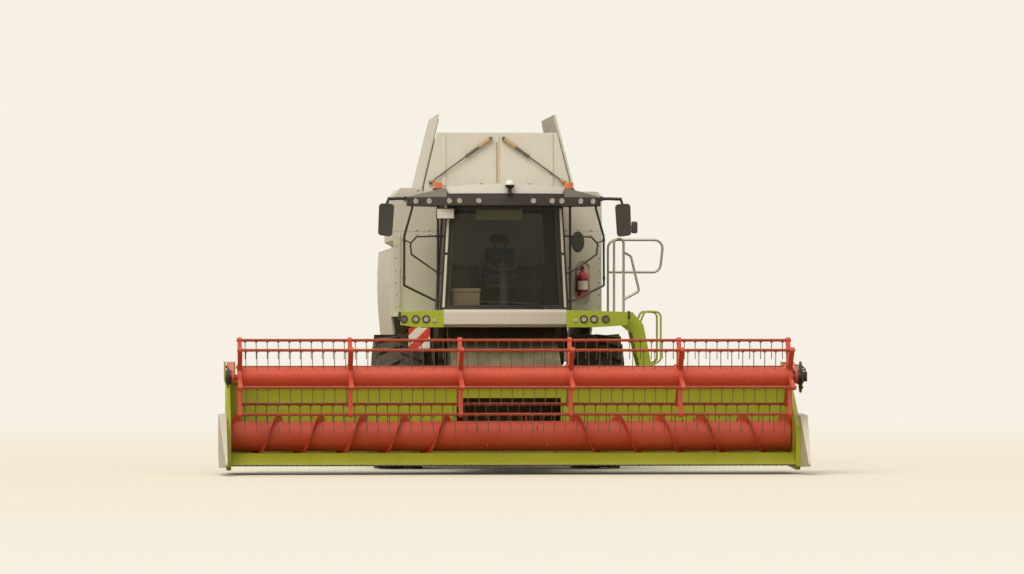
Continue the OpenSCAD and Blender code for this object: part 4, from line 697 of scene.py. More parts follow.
def bolt_tree():
    """A bolt head on a washer."""
    tree, given = repeat_tree("bolt", {
        "Width": ("Float", 0.02), "Height": ("Float", 0.01), "Washer": ("Float", 0.03), "Sides": ("Int", 6),
    })
    half = add(tree, "ShaderNodeMath", {0: given["Width"], 1: 0.5}, operation="MULTIPLY")
    round_bar = {"Vertices": given["Sides"], "Radius": half, "Depth": given["Height"]}
    head = add(tree, "GeometryNodeMeshCylinder", round_bar)
    rise = add(tree, "ShaderNodeMath", {0: given["Height"], 1: 0.5}, operation="MULTIPLY")
    lift = add(tree, "ShaderNodeCombineXYZ", {"Z": rise})
    head = add(tree, "GeometryNodeTransform", {"Geometry": head, "Translation": lift})
    rim = add(tree, "ShaderNodeMath", {0: given["Washer"], 1: 0.5}, operation="MULTIPLY")
    washer = add(tree, "GeometryNodeMeshCylinder", {"Vertices": 12, "Radius": rim, "Depth": 0.006})
    both = add(tree, "GeometryNodeJoinGeometry", out=None)
    tree.links.new(washer, both.inputs[0])
    tree.links.new(head, both.inputs[0])
    return end_tree(tree, given, both.outputs[0])


def ring_tree():
    """A round bar bent to a ring, as round a lamp."""
    tree, given = repeat_tree("ring", {"Radius": ("Float", 0.05), "Bar": ("Float", 0.006)})
    line = add(tree, "GeometryNodeCurvePrimitiveCircle", {"Resolution": 32, "Radius": given["Radius"]})
    section = add(tree, "GeometryNodeCurvePrimitiveCircle", {"Resolution": 8, "Radius": given["Bar"]})
    ring = add(tree, "GeometryNodeCurveToMesh", {"Curve": line, "Profile Curve": section})
    return end_tree(tree, given, ring)


def slat_tree():
    """A flat bar, as a lug of tread plate."""
    tree, given = repeat_tree("slat", {"Size": ("Vector", (0.1, 0.01, 0.01))})
    bar = add(tree, "GeometryNodeMeshCube", {"Size": given["Size"]})
    return end_tree(tree, given, bar)


TREES = {}


class HARVESTER_OT_dress(bpy.types.Operator):
    """Give every frame piece its finish"""

    bl_idname = "harvester.dress"
    bl_label = "Dress the frame"

    def execute(self, context):
        FINISHES.update(build_materials())
        TREES.update(bolt=bolt_tree(), ring=ring_tree(), slat=slat_tree())
        for subpart in frame["record"]["subparts"]:
            node = frame["nodes"][subpart["node"]]
            finish = NODE_FINISH.get(subpart["node"], SLOT_FINISH[subpart["material_slot"]])
            node.data.materials.clear()
            node.data.materials.append(FINISHES[finish])
        return {"FINISHED"}


class HARVESTER_OT_seat(bpy.types.Operator):
    """Make the sprung driver's seat with its padded cushions"""

    bl_idname = "harvester.seat"
    bl_label = "Driver's seat"

    def execute(self, context):
        base = bmesh.new()
        # Bellows over the seat's spring, the pan, the headrest's rods and the armrest's bracket
        folds = [(0, 0), (205, 0)]
        for k in range(7):
            folds += [(200 - 6 * k, 15 + 40 * k), (172 - 6 * k, 35 + 40 * k)]
        lathe(base, [*folds, (150, 300), (0, 300)], on_floor(0, -850, 0))
        block(base, on_floor(-228, -1080, 296), on_floor(228, -625, 362), 18)
        for x in (-70, 70):
            tube(base, [on_floor(x, -560, 850), on_floor(x, -545, 1000)], 8)
        block(base, on_floor(-300, -722, 400), on_floor(-262, -650, 565), 8)
        block(base, on_floor(-264, -722, 400), on_floor(-200, -650, 440), 8)
        # The lever and its console on the armrest, and the shell behind the back
        block(base, on_floor(-326, -1090, 556), on_floor(-262, -955, 600), 10)
        tube(base, [on_floor(-294, -1050, 590), on_floor(-294, -1060, 655)], 9)
        lathe(base, [(0, 0), (18, 6), (24, 30), (16, 52), (0, 58)], on_floor(-294, -1062, 650))
        block(base, on_floor(-180, -628, 340), on_floor(180, -596, 500), 12)
        seat = made_of("seat_frame", base, "charcoal")
        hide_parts("driver_seat")
        # Name, corners above the floor, edge radius, channels as (stacked, count), lean in degrees
        for name, low, high, radius, channels, lean in (
            ("seat_cushion", (-228, -1098, 372), (228, -648, 452), 30, (0, 5), -3),
            ("seat_back", (-218, -690, 462), (218, -612, 872), 30, (1, 4), -11),
            ("seat_headrest", (-130, -592, 934), (130, -530, 1050), 24, (1, 0), -8),
            ("armrest_pad", (-322, -948, 572), (-268, -652, 602), 12, (1, 0), 0),
        ):
            self.pad(name, on_floor(*low), on_floor(*high), radius, channels, lean)
        return {"FINISHED"}

    def pad(self, name, low, high, radius, channels, lean):
        """A crowned pad blown up as cloth, with sewn channels, leaning about its lower rear edge."""
        sizes = bpy.context.scene.harvester_sizes
        work = bmesh.new()
        block(work, low, high, radius, 4)
        hinge = cad(0, high[1], low[2])
        turn = Matrix.Rotation(math.radians(lean), 4, "X")
        turn = Matrix.Translation(hinge) @ turn @ Matrix.Translation(-hinge)
        bmesh.ops.recalc_face_normals(work, faces=work.faces)
        mesh = bpy.data.meshes.new(name)
        work.to_mesh(mesh)
        work.free()
        piece = bpy.data.objects.new(name, mesh)
        bpy.context.scene.collection.objects.link(piece)
        remesh = piece.modifiers.new("voxels", "REMESH")
        remesh.mode = "VOXEL"
        remesh.voxel_size = min(sizes.pad_voxel, radius / 2000)
        piece.data = plain_mesh(piece)
        start = [vertex.co.copy() for vertex in piece.data.vertices]
        cloth = piece.modifiers.new("cloth", "CLOTH")
        cloth.settings.use_pressure = True
        cloth.settings.uniform_pressure_force = sizes.pad_pressure
        cloth.settings.effector_weights.gravity = 0
        for step in range(1, 21):
            bpy.context.scene.frame_set(step)
        piece.data = plain_mesh(piece)
        bpy.context.scene.frame_set(1)
        low, high = cad(*low), cad(*high)
        for vertex, place in zip(piece.data.vertices, start):
            move = vertex.co - place
            if move.length > sizes.pad_swell:
                vertex.co = place + move.normalized() * sizes.pad_swell
            self.channel(vertex, place, low, high, channels)
        piece.data.transform(turn)
        for face in piece.data.polygons:
            face.use_smooth = True
        piece.data.materials.clear()
        piece.data.materials.append(FINISHES["cloth"])
        smooth = piece.modifiers.new("smooth", "SUBSURF")
        smooth.levels = smooth.render_levels = 1
        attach(piece, "chassis")

    def channel(self, vertex, place, low, high, channels):
        """Sinks a vertex that lies in a sewn furrow: channels side by side, or one above the other."""
        stacked, count = channels
        along_axis, flat = (2, 1) if stacked else (0, 2)
        width, depth = 0.02, 0.009
        for k in range(1, count):
            seam = low[along_axis] + (high[along_axis] - low[along_axis]) * k / count
            gap = abs(place[along_axis] - seam)
            if gap < width:
                sunk = depth * (1 - gap / width) ** 2
                vertex.co[flat] -= math.copysign(sunk, place[flat] - (low[flat] + high[flat]) / 2)


class HARVESTER_OT_cab(bpy.types.Operator):
    """Fit the windscreen's border, wiper and pillar strips, and what stands in the cab"""

    bl_idname = "harvester.cab"
    bl_label = "Cab fittings"

    def execute(self, context):
        self.screen()
        self.strips()
        self.box()
        self.terminal()
        blind = bmesh.new()
        curved_panel(blind, [(-395, 3405), (235, 3405), (230, 3560), (-390, 3560)], 1872, 1866)
        made_of("sun_blind", blind, "blind")
        handle = bmesh.new()
        grip = [(878, -1385, 2600), (922, -1385, 2600), (914, -1385, 2760), (870, -1385, 2760)]
        tube(handle, bent(grip, 14), 7)
        made_of("door_handle", handle, "black", "cab_door")
        return {"FINISHED"}

    def strips(self):
        """Cream strips on the windscreen's posts, each leaning in, with a gap above the middle."""
        strips = bmesh.new()
        for side in (-1, 1):
            for low, high in ((2222, 2930), (2966, 3556)):
                foot, head = (side * (830 - 70 * (z - 2200) / 1350) for z in (low, high))
                corners = [(foot - 16, low), (foot + 16, low), (head + 16, high), (head - 16, high)]
                curved_panel(strips, corners, SCREEN_RADIUS + 5, SCREEN_RADIUS - 4, 4)
        made_of("pillar_strips", strips, "cream")

    def box(self):
        """A storage box with its lid, behind the windscreen."""
        box = bmesh.new()
        block(box, on_floor(-690, -1480, 1), on_floor(-325, -1235, 245), 22, 4)
        block(box, on_floor(-697, -1486, 238), on_floor(-318, -1229, 300), 18, 4)
        made_of("storage_box", box, "beige")

    def terminal(self):
        """The screen on its post, the two pedals, and the shelf under the rear window."""
        terminal = bmesh.new()
        tube(terminal, bent([on_floor(430, -1180, 0), (430, -1180, 2700), (430, -1230, 2830)], 60), 16)
        block(terminal, (320, -1262, 2790), (545, -1226, 2945), 14, 3)
        for x in (-120, 60):
            block(terminal, on_floor(x, -1560, 0), on_floor(x + 70, -1420, 26), 8)
        block(terminal, on_floor(-600, -420, 0), on_floor(600, -345, 420), 20, 3)
        made_of("cab_terminal", terminal, "charcoal")

    def screen(self):
        """A black printed border inside the glass's edge, and the wiper parked along its foot."""
        outer = SCREEN_RADIUS - GLASS_INSET + 3
        inner = outer - 2.5
        border = bmesh.new()
        for side in (-1, 1):
            low, high = sorted((side * 786, side * 742)), sorted((side * 710, side * 668))
            corners = [(low[0], 2214), (low[1], 2214), (high[1], 3576), (high[0], 3576)]
            curved_panel(border, corners, outer, inner, 4)
        curved_panel(border, [(-742, 2213), (742, 2213), (740, 2252), (-740, 2252)], outer, inner, 48)
        curved_panel(border, [(-670, 3545), (670, 3545), (668, 3577), (-668, 3577)], outer, inner, 48)
        made_of("screen_border", border, "black")
        wiper = bmesh.new()
        reach = SCREEN_RADIUS + 6
        blade = [(-330, 2291), (470, 2266), (470, 2278), (-330, 2303)]
        curved_panel(wiper, blade, reach + 8, reach - 14)
        arm = ((560, 2203), (450, 2240), (250, 2268), (70, 2286))
        tube(wiper, [on_cylinder(x, z, reach + 14) for x, z in arm], 7)
        spindle = [(0, 0), (26, 0), (26, 26), (16, 34), (0, 34)]
        lathe(wiper, spindle, on_cylinder(560, 2200, SCREEN_RADIUS - 4), (0.29, -0.96, 0))
        made_of("screen_wiper", wiper, "black")


class HARVESTER_OT_roof(bpy.types.Operator):
    """Fit the receiver, the beacons' feet and the roof's screws"""

    bl_idname = "harvester.roof"
    bl_label = "Roof fittings"

    def execute(self, context):
        dome = bmesh.new()
        lathe(dome, [(0, 0), (66, 0), (63, 22), (52, 42), (34, 56), (14, 64), (0, 66)], RECEIVER)
        made_of("receiver_dome", dome, "white")
        foot = bmesh.new()
        lathe(foot, [(0, -50), (38, -48), (57, -34), (65, -14), (66, -0.5), (0, -0.5)], RECEIVER)
        lathe(foot, [(0, -122), (24, -122), (24, -44), (0, -44)], RECEIVER, sides=16)
        block(foot, (5, -2008, 3744), (85, -1912, 3764), 5)
        made_of("receiver_foot", foot, "black")
        feet = bmesh.new()
        x, y, z = BEACON
        for side in (-1, 1):
            profile = [(60.5, -8), (76, -8), (76, 8), (68, 16), (60.5, 16)]
            lathe(feet, profile, (side * x, y, z), ring=True)
        made_of("beacon_feet", feet, "black")
        rows = (-1820, -1250, -400)
        starts = [(side * x, y, 4200) for side in (-1, 1) for x in (330, 640) for y in rows]
        screw = {"Width": 0.03, "Height": 0.012, "Sides": 16, "Washer": 0.05}
        repeated("roof_screws", "bolt", along("roof_cap", starts, (0, 0, -1)), screw, "charcoal")
        return {"FINISHED"}


class HARVESTER_OT_lamps(bpy.types.Operator):
    """Ring the lamps and fit the markers"""

    bl_idname = "harvester.lamps"
    bl_label = "Lamp bezels"

    def execute(self, context):
        front = facing((0, -1, 0))
        # The beam's outer parts sweep back from its middle
        spots = [
            (cad(side * x, -1722 + (x - 835) * 0.12 - 7, 2062), front)
            for side in (-1, 1) for x in HEADLAMPS
        ]
        repeated("headlamp_bezels", "ring", spots, {"Radius": 0.044, "Bar": 0.011}, "charcoal")
        spots = []
        for side in (-1, 1):
            for x in ROOF_LAMPS:
                place = cad(*on_cylinder(side * x, CAB_TOP + 62, ROOF_RADIUS))
                spots.append((place, facing((side * x / ROOF_RADIUS, -1, 0))))
        repeated("roof_lamp_bezels", "ring", spots, {"Radius": 0.041, "Bar": 0.006}, "black")
        markers = bmesh.new()
        for side in (-1, 1):
            lens = [(0, -2), (26, -2), (26, 8), (18, 15), (0, 17)]
            lathe(markers, lens, (side * 955, -1708, 2035), (0, -1, 0), 24)
        made_of("indicator_lenses", markers, "lens")
        ends = bmesh.new()
        block(ends, (1672, -1592, 2062), (1712, -1540, 2172), 8)
        block(ends, (-1442, -1600, 2040), (-1402, -1540, 2160), 8)
        made_of("side_markers", ends, "charcoal")
        return {"FINISHED"}


class HARVESTER_OT_mirrors(bpy.types.Operator):
    """Fit the mirrors' glasses, the wide-angle mirrors, the cab's upright rails and their clips"""

    bl_idname = "harvester.mirrors"
    bl_label = "Mirrors and rail clips"

    def execute(self, context):
        glass = bmesh.new()
        housings = bmesh.new()
        for side in (-1, 1):
            outline = [(1520, 3600), (1692, 3608), (1706, 3222), (1544, 3200)]
            flat_plate(glass, [(side * x, z) for x, z in outline], -1604.5, 4)
        block(housings, (1722, -1668, 3226), (1806, -1616, 3388), 22, 4)
        tube(housings, [(1700, -1640, 3310), (1735, -1640, 3310)], 14)
        flat_plate(glass, oval(1764, 3307, 34, 70), -1615.5, 3)
        made_of("mirror_glasses", glass, "mirror")
        oval_back = bmesh.new()
        flat_plate(oval_back, oval(1000, 3110, 88, 143), -1560, 40)
        flat_plate(oval_back, oval(1000, 3110, 70, 124), -1574, 16)
        block(oval_back, (975, -1524, 3150), (1025, -1496, 3215), 8)
        made_of("oval_mirror", oval_back, "black")
        for side in (-1, 1):
            tube(housings, [(side * 1268, RAIL_LINE, 3096), (side * 1358, RAIL_LINE, 3134)], 9)
            tube(housings, [(side * 1357.5, RAIL_LINE, 3112), (side * 1357.2, RAIL_LINE, 3156)], 22, 16)
            tube(housings, [(side * 1360, RAIL_LINE, 2600), (side * 1360, RAIL_LINE, 2640)], 21, 16)
        made_of("mirror_housings", housings, "charcoal")
        rails = bmesh.new()
        for side in (-1, 1):
            tube(rails, [(side * 905, RAIL_LINE, 2178), (side * 898, RAIL_LINE, 3606)], 17, 14)
            for z in (2310, 2690, 3185):
                tube(rails, [(side * 902, RAIL_LINE, z - 22), (side * 902, RAIL_LINE, z + 22)], 23, 14)
        made_of("upright_rails", rails, "black")
        return {"FINISHED"}


class HARVESTER_OT_front(bpy.types.Operator):
    """Fit the extinguisher's head and straps, the plate's frame and the wall's rail"""

    bl_idname = "harvester.front"
    bl_label = "Front fittings"

    def execute(self, context):
        self.extinguisher(*EXTINGUISHER)
        self.label(*EXTINGUISHER)
        plate = bmesh.new()
        for low, high in (
            ((-936, -1712, 3554), (-684, -1698, 3566)), ((-936, -1712, 3414), (-684, -1698, 3426)),
            ((-936, -1712, 3414), (-924, -1698, 3566)), ((-696, -1712, 3414), (-684, -1698, 3566)),
        ):
            block(plate, low, high, 3)
        made_of("plate_frame", plate, "charcoal")
        self.rail(-1360)
        return {"FINISHED"}

    def extinguisher(self, x, y):
        """Two straps, the valve with its levers, and the hose with its horn."""
        fittings = bmesh.new()
        for z in (2440, 2606):
            lathe(fittings, [(76.5, 0), (80, 0), (80, 22), (76.5, 22)], (x, y, z), ring=True)
        lathe(fittings, [(0, 0), (27, 0), (27, 20), (18, 34), (0, 34)], (x, y, 2762), sides=20)
        block(fittings, (x - 10, y - 84, 2784), (x + 10, y + 22, 2798), 4)
        block(fittings, (x - 9, y - 70, 2762), (x + 9, y - 20, 2772), 4)
        hose = [(x - 24, y, 2752), (x - 90, y - 6, 2752), (x - 90, y - 10, 2600), (x - 88, y - 8, 2500)]
        tube(fittings, bent(hose, 28), 8)
        lathe(fittings, [(0, 0), (14, 0), (9, 70), (0, 70)], (x - 88, y - 8, 2440), sides=16)
        made_of("extinguisher_fittings", fittings, "black")

    def label(self, x, y):
        """A plain label bent round the front of the bottle."""
        label = bmesh.new()
        steps = 12
        turns = [math.radians(-150 + 120 * k / steps) for k in range(steps + 1)]
        edges = [
            [cad(x + radius * math.cos(t), y + radius * math.sin(t), z) for t in turns]
            for radius in (77, 76.2) for z in (2474, 2592)
        ]
        low, high, back_low, back_high = ([label.verts.new(point) for point in line] for line in edges)
        for a, b in ((low, high), (high, back_high), (back_high, back_low), (back_low, low)):
            for k in range(steps):
                label.faces.new((a[k], a[k + 1], b[k + 1], b[k]))
        for k in (0, steps):
            label.faces.new((low[k], high[k], back_high[k], back_low[k]))
        made_of("extinguisher_label", label, "film")

    def rail(self, x):
        """A rail bent out from the tank's front wall, with a stay at its middle."""
        rail = bmesh.new()
        found = struck("grain_tank", (x, -900, 2740), (0, 1, 0))
        wall = found[0].y * 1000 + SETBACK
        path = [(x, wall, 2250), (x, wall - 46, 2250), (x, wall - 46, 3230), (x, wall, 3230)]
        tube(rail, bent(path, 22), 9)
        block(rail, (x - 10, wall - 46, 2725), (x + 10, wall, 2745), 3)
        made_of("wall_rail", rail, "cream")


class HARVESTER_OT_wheels(bpy.types.Operator):
    """Bolt the wheels to their hubs"""

    bl_idname = "harvester.wheels"
    bl_label = "Wheel nuts and hub caps"

    def execute(self, context):
        sizes = context.scene.harvester_sizes
        for end, y, z, hub_face, ring, cap, share in WHEELS:
            width = sizes.nut_width * share
            for side, name in ((1, "left"), (-1, "right")):
                body = f"{end}_wheel_{name}"
                starts = []
                for k in range(sizes.wheel_nuts):
                    angle = 2 * math.pi * k / sizes.wheel_nuts
                    starts.append((side * 2200, y + ring * math.cos(angle), z + ring * math.sin(angle)))
                nut = {"Width": width, "Height": width * 0.7, "Sides": 6, "Washer": width * 1.35}
                spots = along(f"{end}_rim_{name}", starts, (-side, 0, 0))
                repeated(f"{end}_nuts_{name}", "bolt", spots, nut, "zinc", body)
                work = bmesh.new()
                profile = [(0, 0), (cap, 0), (cap, 8), (cap * 0.8, 22), (cap * 0.35, 28), (0, 28)]
                lathe(work, profile, (side * (hub_face + 0.5), y, z), (side, 0, 0))
                made_of(f"{end}_hub_cap_{name}", work, "cream", body)
        return {"FINISHED"}


class HARVESTER_OT_bolts(bpy.types.Operator):
    """Set the bolts, rivets, tread lugs and latches of the body and the header"""

    bl_idname = "harvester.bolts"
    bl_label = "Bolts, rivets and latches"

    def execute(self, context):
        sizes = context.scene.harvester_sizes
        width = sizes.bolt_width
        bolt = {"Width": width, "Height": 0.009, "Sides": 6, "Washer": width * 1.4}
        starts = [(side * 1405, -1200, z) for side in (-1, 1) for z in range(2240, 3260, 170)]
        starts += [
            (side * x, -1200, z) for side in (-1, 1) for x in (950, 1120, 1290) for z in (3236, 3302, 3700)
        ]
        repeated("wall_bolts", "bolt", along("grain_tank", starts, (0, 1, 0)), bolt, "cream")
        self.header(bolt)
        self.tread(1000 * sizes.tread_spacing)
        self.panels(bolt)
        self.stars(bolt)
        return {"FINISHED"}

    def header(self, bolt):
        """Rivets on the face of the header's back wall and bolts behind it, none over the mouth."""
        rivet = {**bolt, "Sides": 12, "Height": 0.006}
        starts = [(x, -5600, z) for x in range(-3600, 3601, 180) for z in (700, 1160)]
        spots = along("header_trough", starts, (0, 1, 0))
        repeated("header_rivets", "bolt", spots, rivet, "lime", "feeder")
        starts = [(x, 0, z) for x in range(-3600, 3601, 240) for z in (700, 1180)]
        spots = along("header_trough", starts, (0, -1, 0))
        repeated("header_bolts", "bolt", spots, bolt, "lime", "feeder")

    def tread(self, step):
        """Crossed lugs on the platform's tread plate."""
        x, y, wide, long = 960, -1370, 500, 1140
        lugs = []
        for i in range(int(wide / step)):
            for j in range(int(long / step)):
                start = (x + (i + 0.5) * step, y + (j + 0.5) * step, 2400)
                spot = struck("platform", start, (0, 0, -1))
                if spot and spot[0].z > 2.1:
                    lugs.append((spot[0], (0, 0, math.radians(45 if (i + j) % 2 else -45))))
        repeated("tread_lugs", "slat", lugs, {"Size": (0.036, 0.009, 0.008)}, "zinc")

    def panels(self, bolt):
        """Two latches at the foot of each side panel, and the bolts of panels and hoods."""
        for side, name in ((1, "left"), (-1, "right")):
            latches = bmesh.new()
            for y in (1300, 2300):
                spot = struck(f"side_panel_{name}", (side * 2000, y, 1250), (-side, 0, 0))
                face = abs(spot[0].x) * 1000
                block(latches, (side * (face - 8), y - 60, 1225), (side * (face + 14), y + 60, 1275), 5)
            made_of(f"panel_latches_{name}", latches, "black", f"side_panel_{name}")
            starts = [(side * 2000, y, z) for y in (1080, 4980) for z in range(1500, 3000, 210)]
            spots = along(f"side_panel_{name}", starts, (-side, 0, 0))
            repeated(f"panel_bolts_{name}", "bolt", spots, bolt, "cream", f"side_panel_{name}")
        spots = []
        for side in (-1, 1):
            starts = [(side * 2000, y, z) for y in (3300, 4620) for z in range(3160, 3400, 110)]
            spots += along("engine_hood", starts, (-side, 0, 0))
        repeated("hood_bolts", "bolt", spots, bolt, "cream")
        starts = [(x, 7000, z) for x in (-760, 760) for z in range(2200, 3100, 180)]
        repeated("tail_bolts", "bolt", along("rear_hood", starts, (0, -1, 0)), bolt, "cream")

    def stars(self, bolt):
        """Hub bolts on both faces of the reel's stars."""
        y, z = REEL_CENTRE
        circle = 150
        spots = []
        for k in range(STARS):
            for side in (-1, 1):
                x = (k - (STARS - 1) / 2) * STAR_SPACING + side * 6
                for n in range(6):
                    angle = math.radians(30 + 60 * n)
                    place = cad(x, y + circle * math.cos(angle), z + circle * math.sin(angle))
                    spots.append((place, facing((side, 0, 0))))
        repeated("star_bolts", "bolt", spots, bolt, "zinc", "reel")


class HARVESTER_OT_flaps(bpy.types.Operator):
    """Sleeve the struts of the tank's end flaps"""

    bl_idname = "harvester.flaps"
    bl_label = "Tank flap fittings"

    def execute(self, context):
        for end, way in (("front", 1), ("rear", -1)):
            hinge_y = FLAP_HINGES[end]
            sleeves = bmesh.new()
            for side in (-1, 1):
                foot = Vector((side * 926, -75, 290))
                head = Vector((side * 90, -75, 905))
                for a, b, radius in ((0.0, 0.07, 24), (0.8, 0.985, 29)):
                    ends = [self.place(foot.lerp(head, k), hinge_y, way) for k in (a, b)]
                    tube(sleeves, ends, radius, 16)
            strap = []
            for z in range(3960, 4600, 80):
                spot = struck(f"tank_flap_{end}", (-5, hinge_y - way * 900, z), (0, way, 0))
                strap.append((-5, spot[0].y * 1000 + SETBACK - way * 4, z))
            tube(sleeves, strap, 11, 8)
            made_of(f"strut_sleeves_{end}", sleeves, "tan", f"tank_flap_{end}")
        return {"FINISHED"}

    def place(self, point, hinge_y, way):
        """A point of the leaning flap, drawn upright, in the part's millimetres."""
        y = point.y * math.cos(FLAP_LEAN) + point.z * math.sin(FLAP_LEAN)
        z = -point.y * math.sin(FLAP_LEAN) + point.z * math.cos(FLAP_LEAN)
        return (point.x, hinge_y + way * y, FLAP_HINGE_Z + z)


class HARVESTER_OT_reel(bpy.types.Operator):
    """Fit the reel's drive at one end and its cam ring at the other"""

    bl_idname = "harvester.reel"
    bl_label = "Reel drive"

    def execute(self, context):
        centre_y, centre_z = REEL_CENTRE
        drive = bmesh.new()
        for side, reach in ((1, 210), (-1, 150)):
            cup = [
                (0, 40), (75, 40), (75, 0), (98, 0), (98, 34), (reach, 34), (reach, 48),
                (reach - 28, 52), (98, 52), (84, 78), (0, 78),
            ]
            lathe(drive, cup, (side * 3740, centre_y, centre_z), (side, 0, 0), 40)
            for k in range(4):
                angle = math.radians(45 + 90 * k)
                y = centre_y + (reach - 16) * math.cos(angle)
                z = centre_z + (reach - 16) * math.sin(angle)
                stud = [(0, 0), (14, 0), (14, 22), (7, 22), (7, 30), (0, 30)]
                lathe(drive, stud, (side * 3776, y, z), (side, 0, 0), 16)
        # Hydraulic motor with its two hoses, which run back along the arm
        block(drive, (3816, centre_y - 55, centre_z - 60), (3866, centre_y + 55, centre_z + 70), 12, 3)
        for rise in (24, 52):
            hose = [
                (3848, centre_y, centre_z + 50), (3848, centre_y + 30, centre_z + 60 + rise),
                (3790, centre_y + 240, centre_z + 100 + rise),
                (3760, centre_y + 700, centre_z + 108 + rise),
            ]
            tube(drive, bent(hose, 28), 9)
        made_of("reel_drive", drive, "black", "reel_arms")
        return {"FINISHED"}


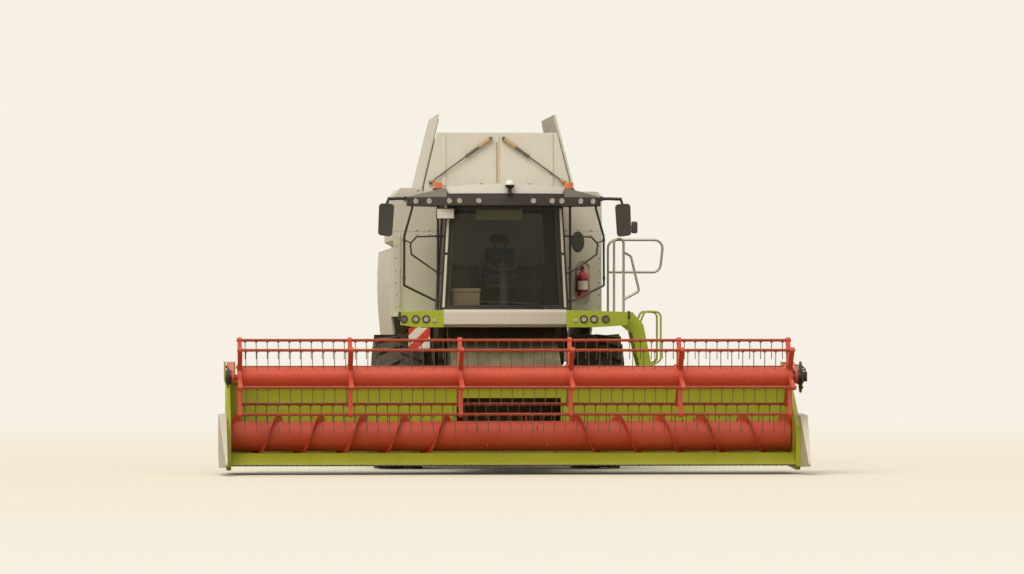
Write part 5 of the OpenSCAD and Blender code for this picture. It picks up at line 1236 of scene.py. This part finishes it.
class HARVESTER_OT_stage(bpy.types.Operator):
    """Set the floor, the lamps and the camera"""

    bl_idname = "harvester.stage"
    bl_label = "Stage"

    def execute(self, context):
        stage = context.scene.harvester_stage
        context.scene.view_settings.view_transform = "Standard"
        self.camera(context, stage)
        self.world(context, stage)
        self.floor(stage)
        self.sun(context, stage)
        return {"FINISHED"}

    def camera(self, context, stage):
        """The long lens of the photograph, aimed a little past the machine and slightly up."""
        data = bpy.data.cameras.new("camera")
        data.sensor_fit = "HORIZONTAL"
        data.sensor_width = 36
        data.lens = stage.focal_pixels / FRAME_WIDTH * data.sensor_width
        data.clip_end = 2000
        camera = bpy.data.objects.new("camera", data)
        camera.location = (stage.camera_x, stage.camera_y, stage.camera_z)
        yaw = math.atan((FRAME_WIDTH / 2 - stage.vanishing_x) / stage.focal_pixels)
        pitch = math.atan((stage.horizon_y - FRAME_HEIGHT / 2) / stage.focal_pixels)
        camera.rotation_euler = (math.pi / 2 + pitch, 0, -yaw)
        context.scene.collection.objects.link(camera)
        context.scene.camera = camera

    def world(self, context, stage):
        """Plain light from all round, and the pale backdrop where the camera or a mirror sees it."""
        world = bpy.data.worlds.new("studio")
        world.use_nodes = True
        tree = world.node_tree
        tree.nodes.clear()
        path = add(tree, "ShaderNodeLightPath", out=None).outputs
        rays = {0: path["Is Camera Ray"], 1: path["Is Glossy Ray"]}
        seen = add(tree, "ShaderNodeMath", rays, operation="MAXIMUM")
        seen = add(tree, "ShaderNodeMath", {0: seen, 1: path["Is Transmission Ray"]}, operation="MAXIMUM")
        glow = {"Color": rgba(stage.sky), "Strength": stage.sky_strength}
        light = add(tree, "ShaderNodeBackground", glow)
        pale = add(tree, "ShaderNodeBackground", {"Color": rgba(stage.backdrop), "Strength": 1})
        mix = add(tree, "ShaderNodeMixShader", {0: seen, 1: light, 2: pale})
        add(tree, "ShaderNodeOutputWorld", {"Surface": mix}, out=None)
        context.scene.world = world

    def floor(self, stage):
        """A wide pale floor, faintly mottled, that takes the shadow and fades into the backdrop."""
        material, tree, surface, place = shader("stage_floor")
        cloud = add(tree, "ShaderNodeTexNoise", {"Vector": place, "Scale": 0.4, "Detail": 4})
        mottle = add(tree, "ShaderNodeMapRange", {0: cloud, 1: 0.3, 2: 0.7, 4: 0.06})
        both = {0: mottle, 6: rgba(stage.backdrop), 7: rgba(stage.backdrop, 0.8)}
        tone = add(tree, "ShaderNodeMix", both, **COLOUR_MIX)
        path = add(tree, "ShaderNodeLightPath", out="Is Camera Ray")
        # The ground throws as much light back at the machine as ripe straw does
        both = {0: path, 6: rgba(stage.stubble), 7: tone}
        feed(surface, {"Base Color": add(tree, "ShaderNodeMix", both, **COLOUR_MIX), "Roughness": 0.9})
        away = add(tree, "ShaderNodeVectorMath", {0: place}, out="Value", operation="LENGTH")
        span = {0: away, 1: stage.near_floor, 2: stage.far_floor}
        fade = add(tree, "ShaderNodeMapRange", span, interpolation_type="SMOOTHSTEP")
        seen = add(tree, "ShaderNodeMath", {0: fade, 1: path}, operation="MULTIPLY")
        glow = add(tree, "ShaderNodeEmission", {"Color": rgba(stage.backdrop)})
        mix = add(tree, "ShaderNodeMixShader", {0: seen, 1: surface.outputs[0], 2: glow})
        feed(tree.nodes["Material Output"], {"Surface": mix})
        mesh = bpy.data.meshes.new("stage_floor")
        side = 900
        corners = [(-side, -side, 0), (side, -side, 0), (side, side, 0), (-side, side, 0)]
        mesh.from_pydata(corners, [], [(0, 1, 2, 3)])
        mesh.materials.append(material)
        floor = bpy.data.objects.new("stage_floor", mesh)
        bpy.context.scene.collection.objects.link(floor)

    def sun(self, context, stage):
        """One broad soft light from above, behind the camera's left."""
        data = bpy.data.lights.new("soft_sun", "SUN")
        data.energy = stage.sun_strength
        data.angle = math.radians(50)
        data.color = stage.sunlight
        sun = bpy.data.objects.new("soft_sun", data)
        sun.rotation_euler = (math.radians(38), 0, math.radians(-28))
        context.scene.collection.objects.link(sun)


class HARVESTER_PT_panel(bpy.types.Panel):
    """Lists the settings and the steps"""

    bl_label = "Harvester"
    bl_idname = "HARVESTER_PT_panel"
    bl_space_type = "VIEW_3D"
    bl_region_type = "UI"
    bl_category = "Harvester"

    def draw(self, context):
        scene = context.scene
        for group in (scene.harvester_paint, scene.harvester_sizes, scene.harvester_stage):
            box = self.layout.box()
            for name in group.__annotations__:
                box.prop(group, name)
        for operator in OPERATORS:
            self.layout.operator(operator.bl_idname)


GROUPS = {
    "harvester_paint": HarvesterPaint,
    "harvester_sizes": HarvesterSizes,
    "harvester_stage": HarvesterStage,
}
OPERATORS = (
    HARVESTER_OT_stage, HARVESTER_OT_dress, HARVESTER_OT_seat, HARVESTER_OT_cab, HARVESTER_OT_roof,
    HARVESTER_OT_lamps, HARVESTER_OT_mirrors, HARVESTER_OT_front, HARVESTER_OT_wheels, HARVESTER_OT_bolts,
    HARVESTER_OT_flaps, HARVESTER_OT_reel,
)


def register():
    """Registers the classes and puts the settings on the scene."""
    for group in GROUPS.values():
        bpy.utils.register_class(group)
    for name, group in GROUPS.items():
        setattr(bpy.types.Scene, name, PointerProperty(type=group))
    for kind in (*OPERATORS, HARVESTER_PT_panel):
        bpy.utils.register_class(kind)


def unregister():
    """Takes the classes and the settings off again."""
    for kind in (HARVESTER_PT_panel, *reversed(OPERATORS)):
        bpy.utils.unregister_class(kind)
    for name, group in GROUPS.items():
        delattr(bpy.types.Scene, name)
        bpy.utils.unregister_class(group)


def main():
    """Runs every step in order."""
    register()
    for operator in OPERATORS:
        area, name = operator.bl_idname.split(".")
        getattr(getattr(bpy.ops, area), name)()


if __name__ == "__main__":
    main()
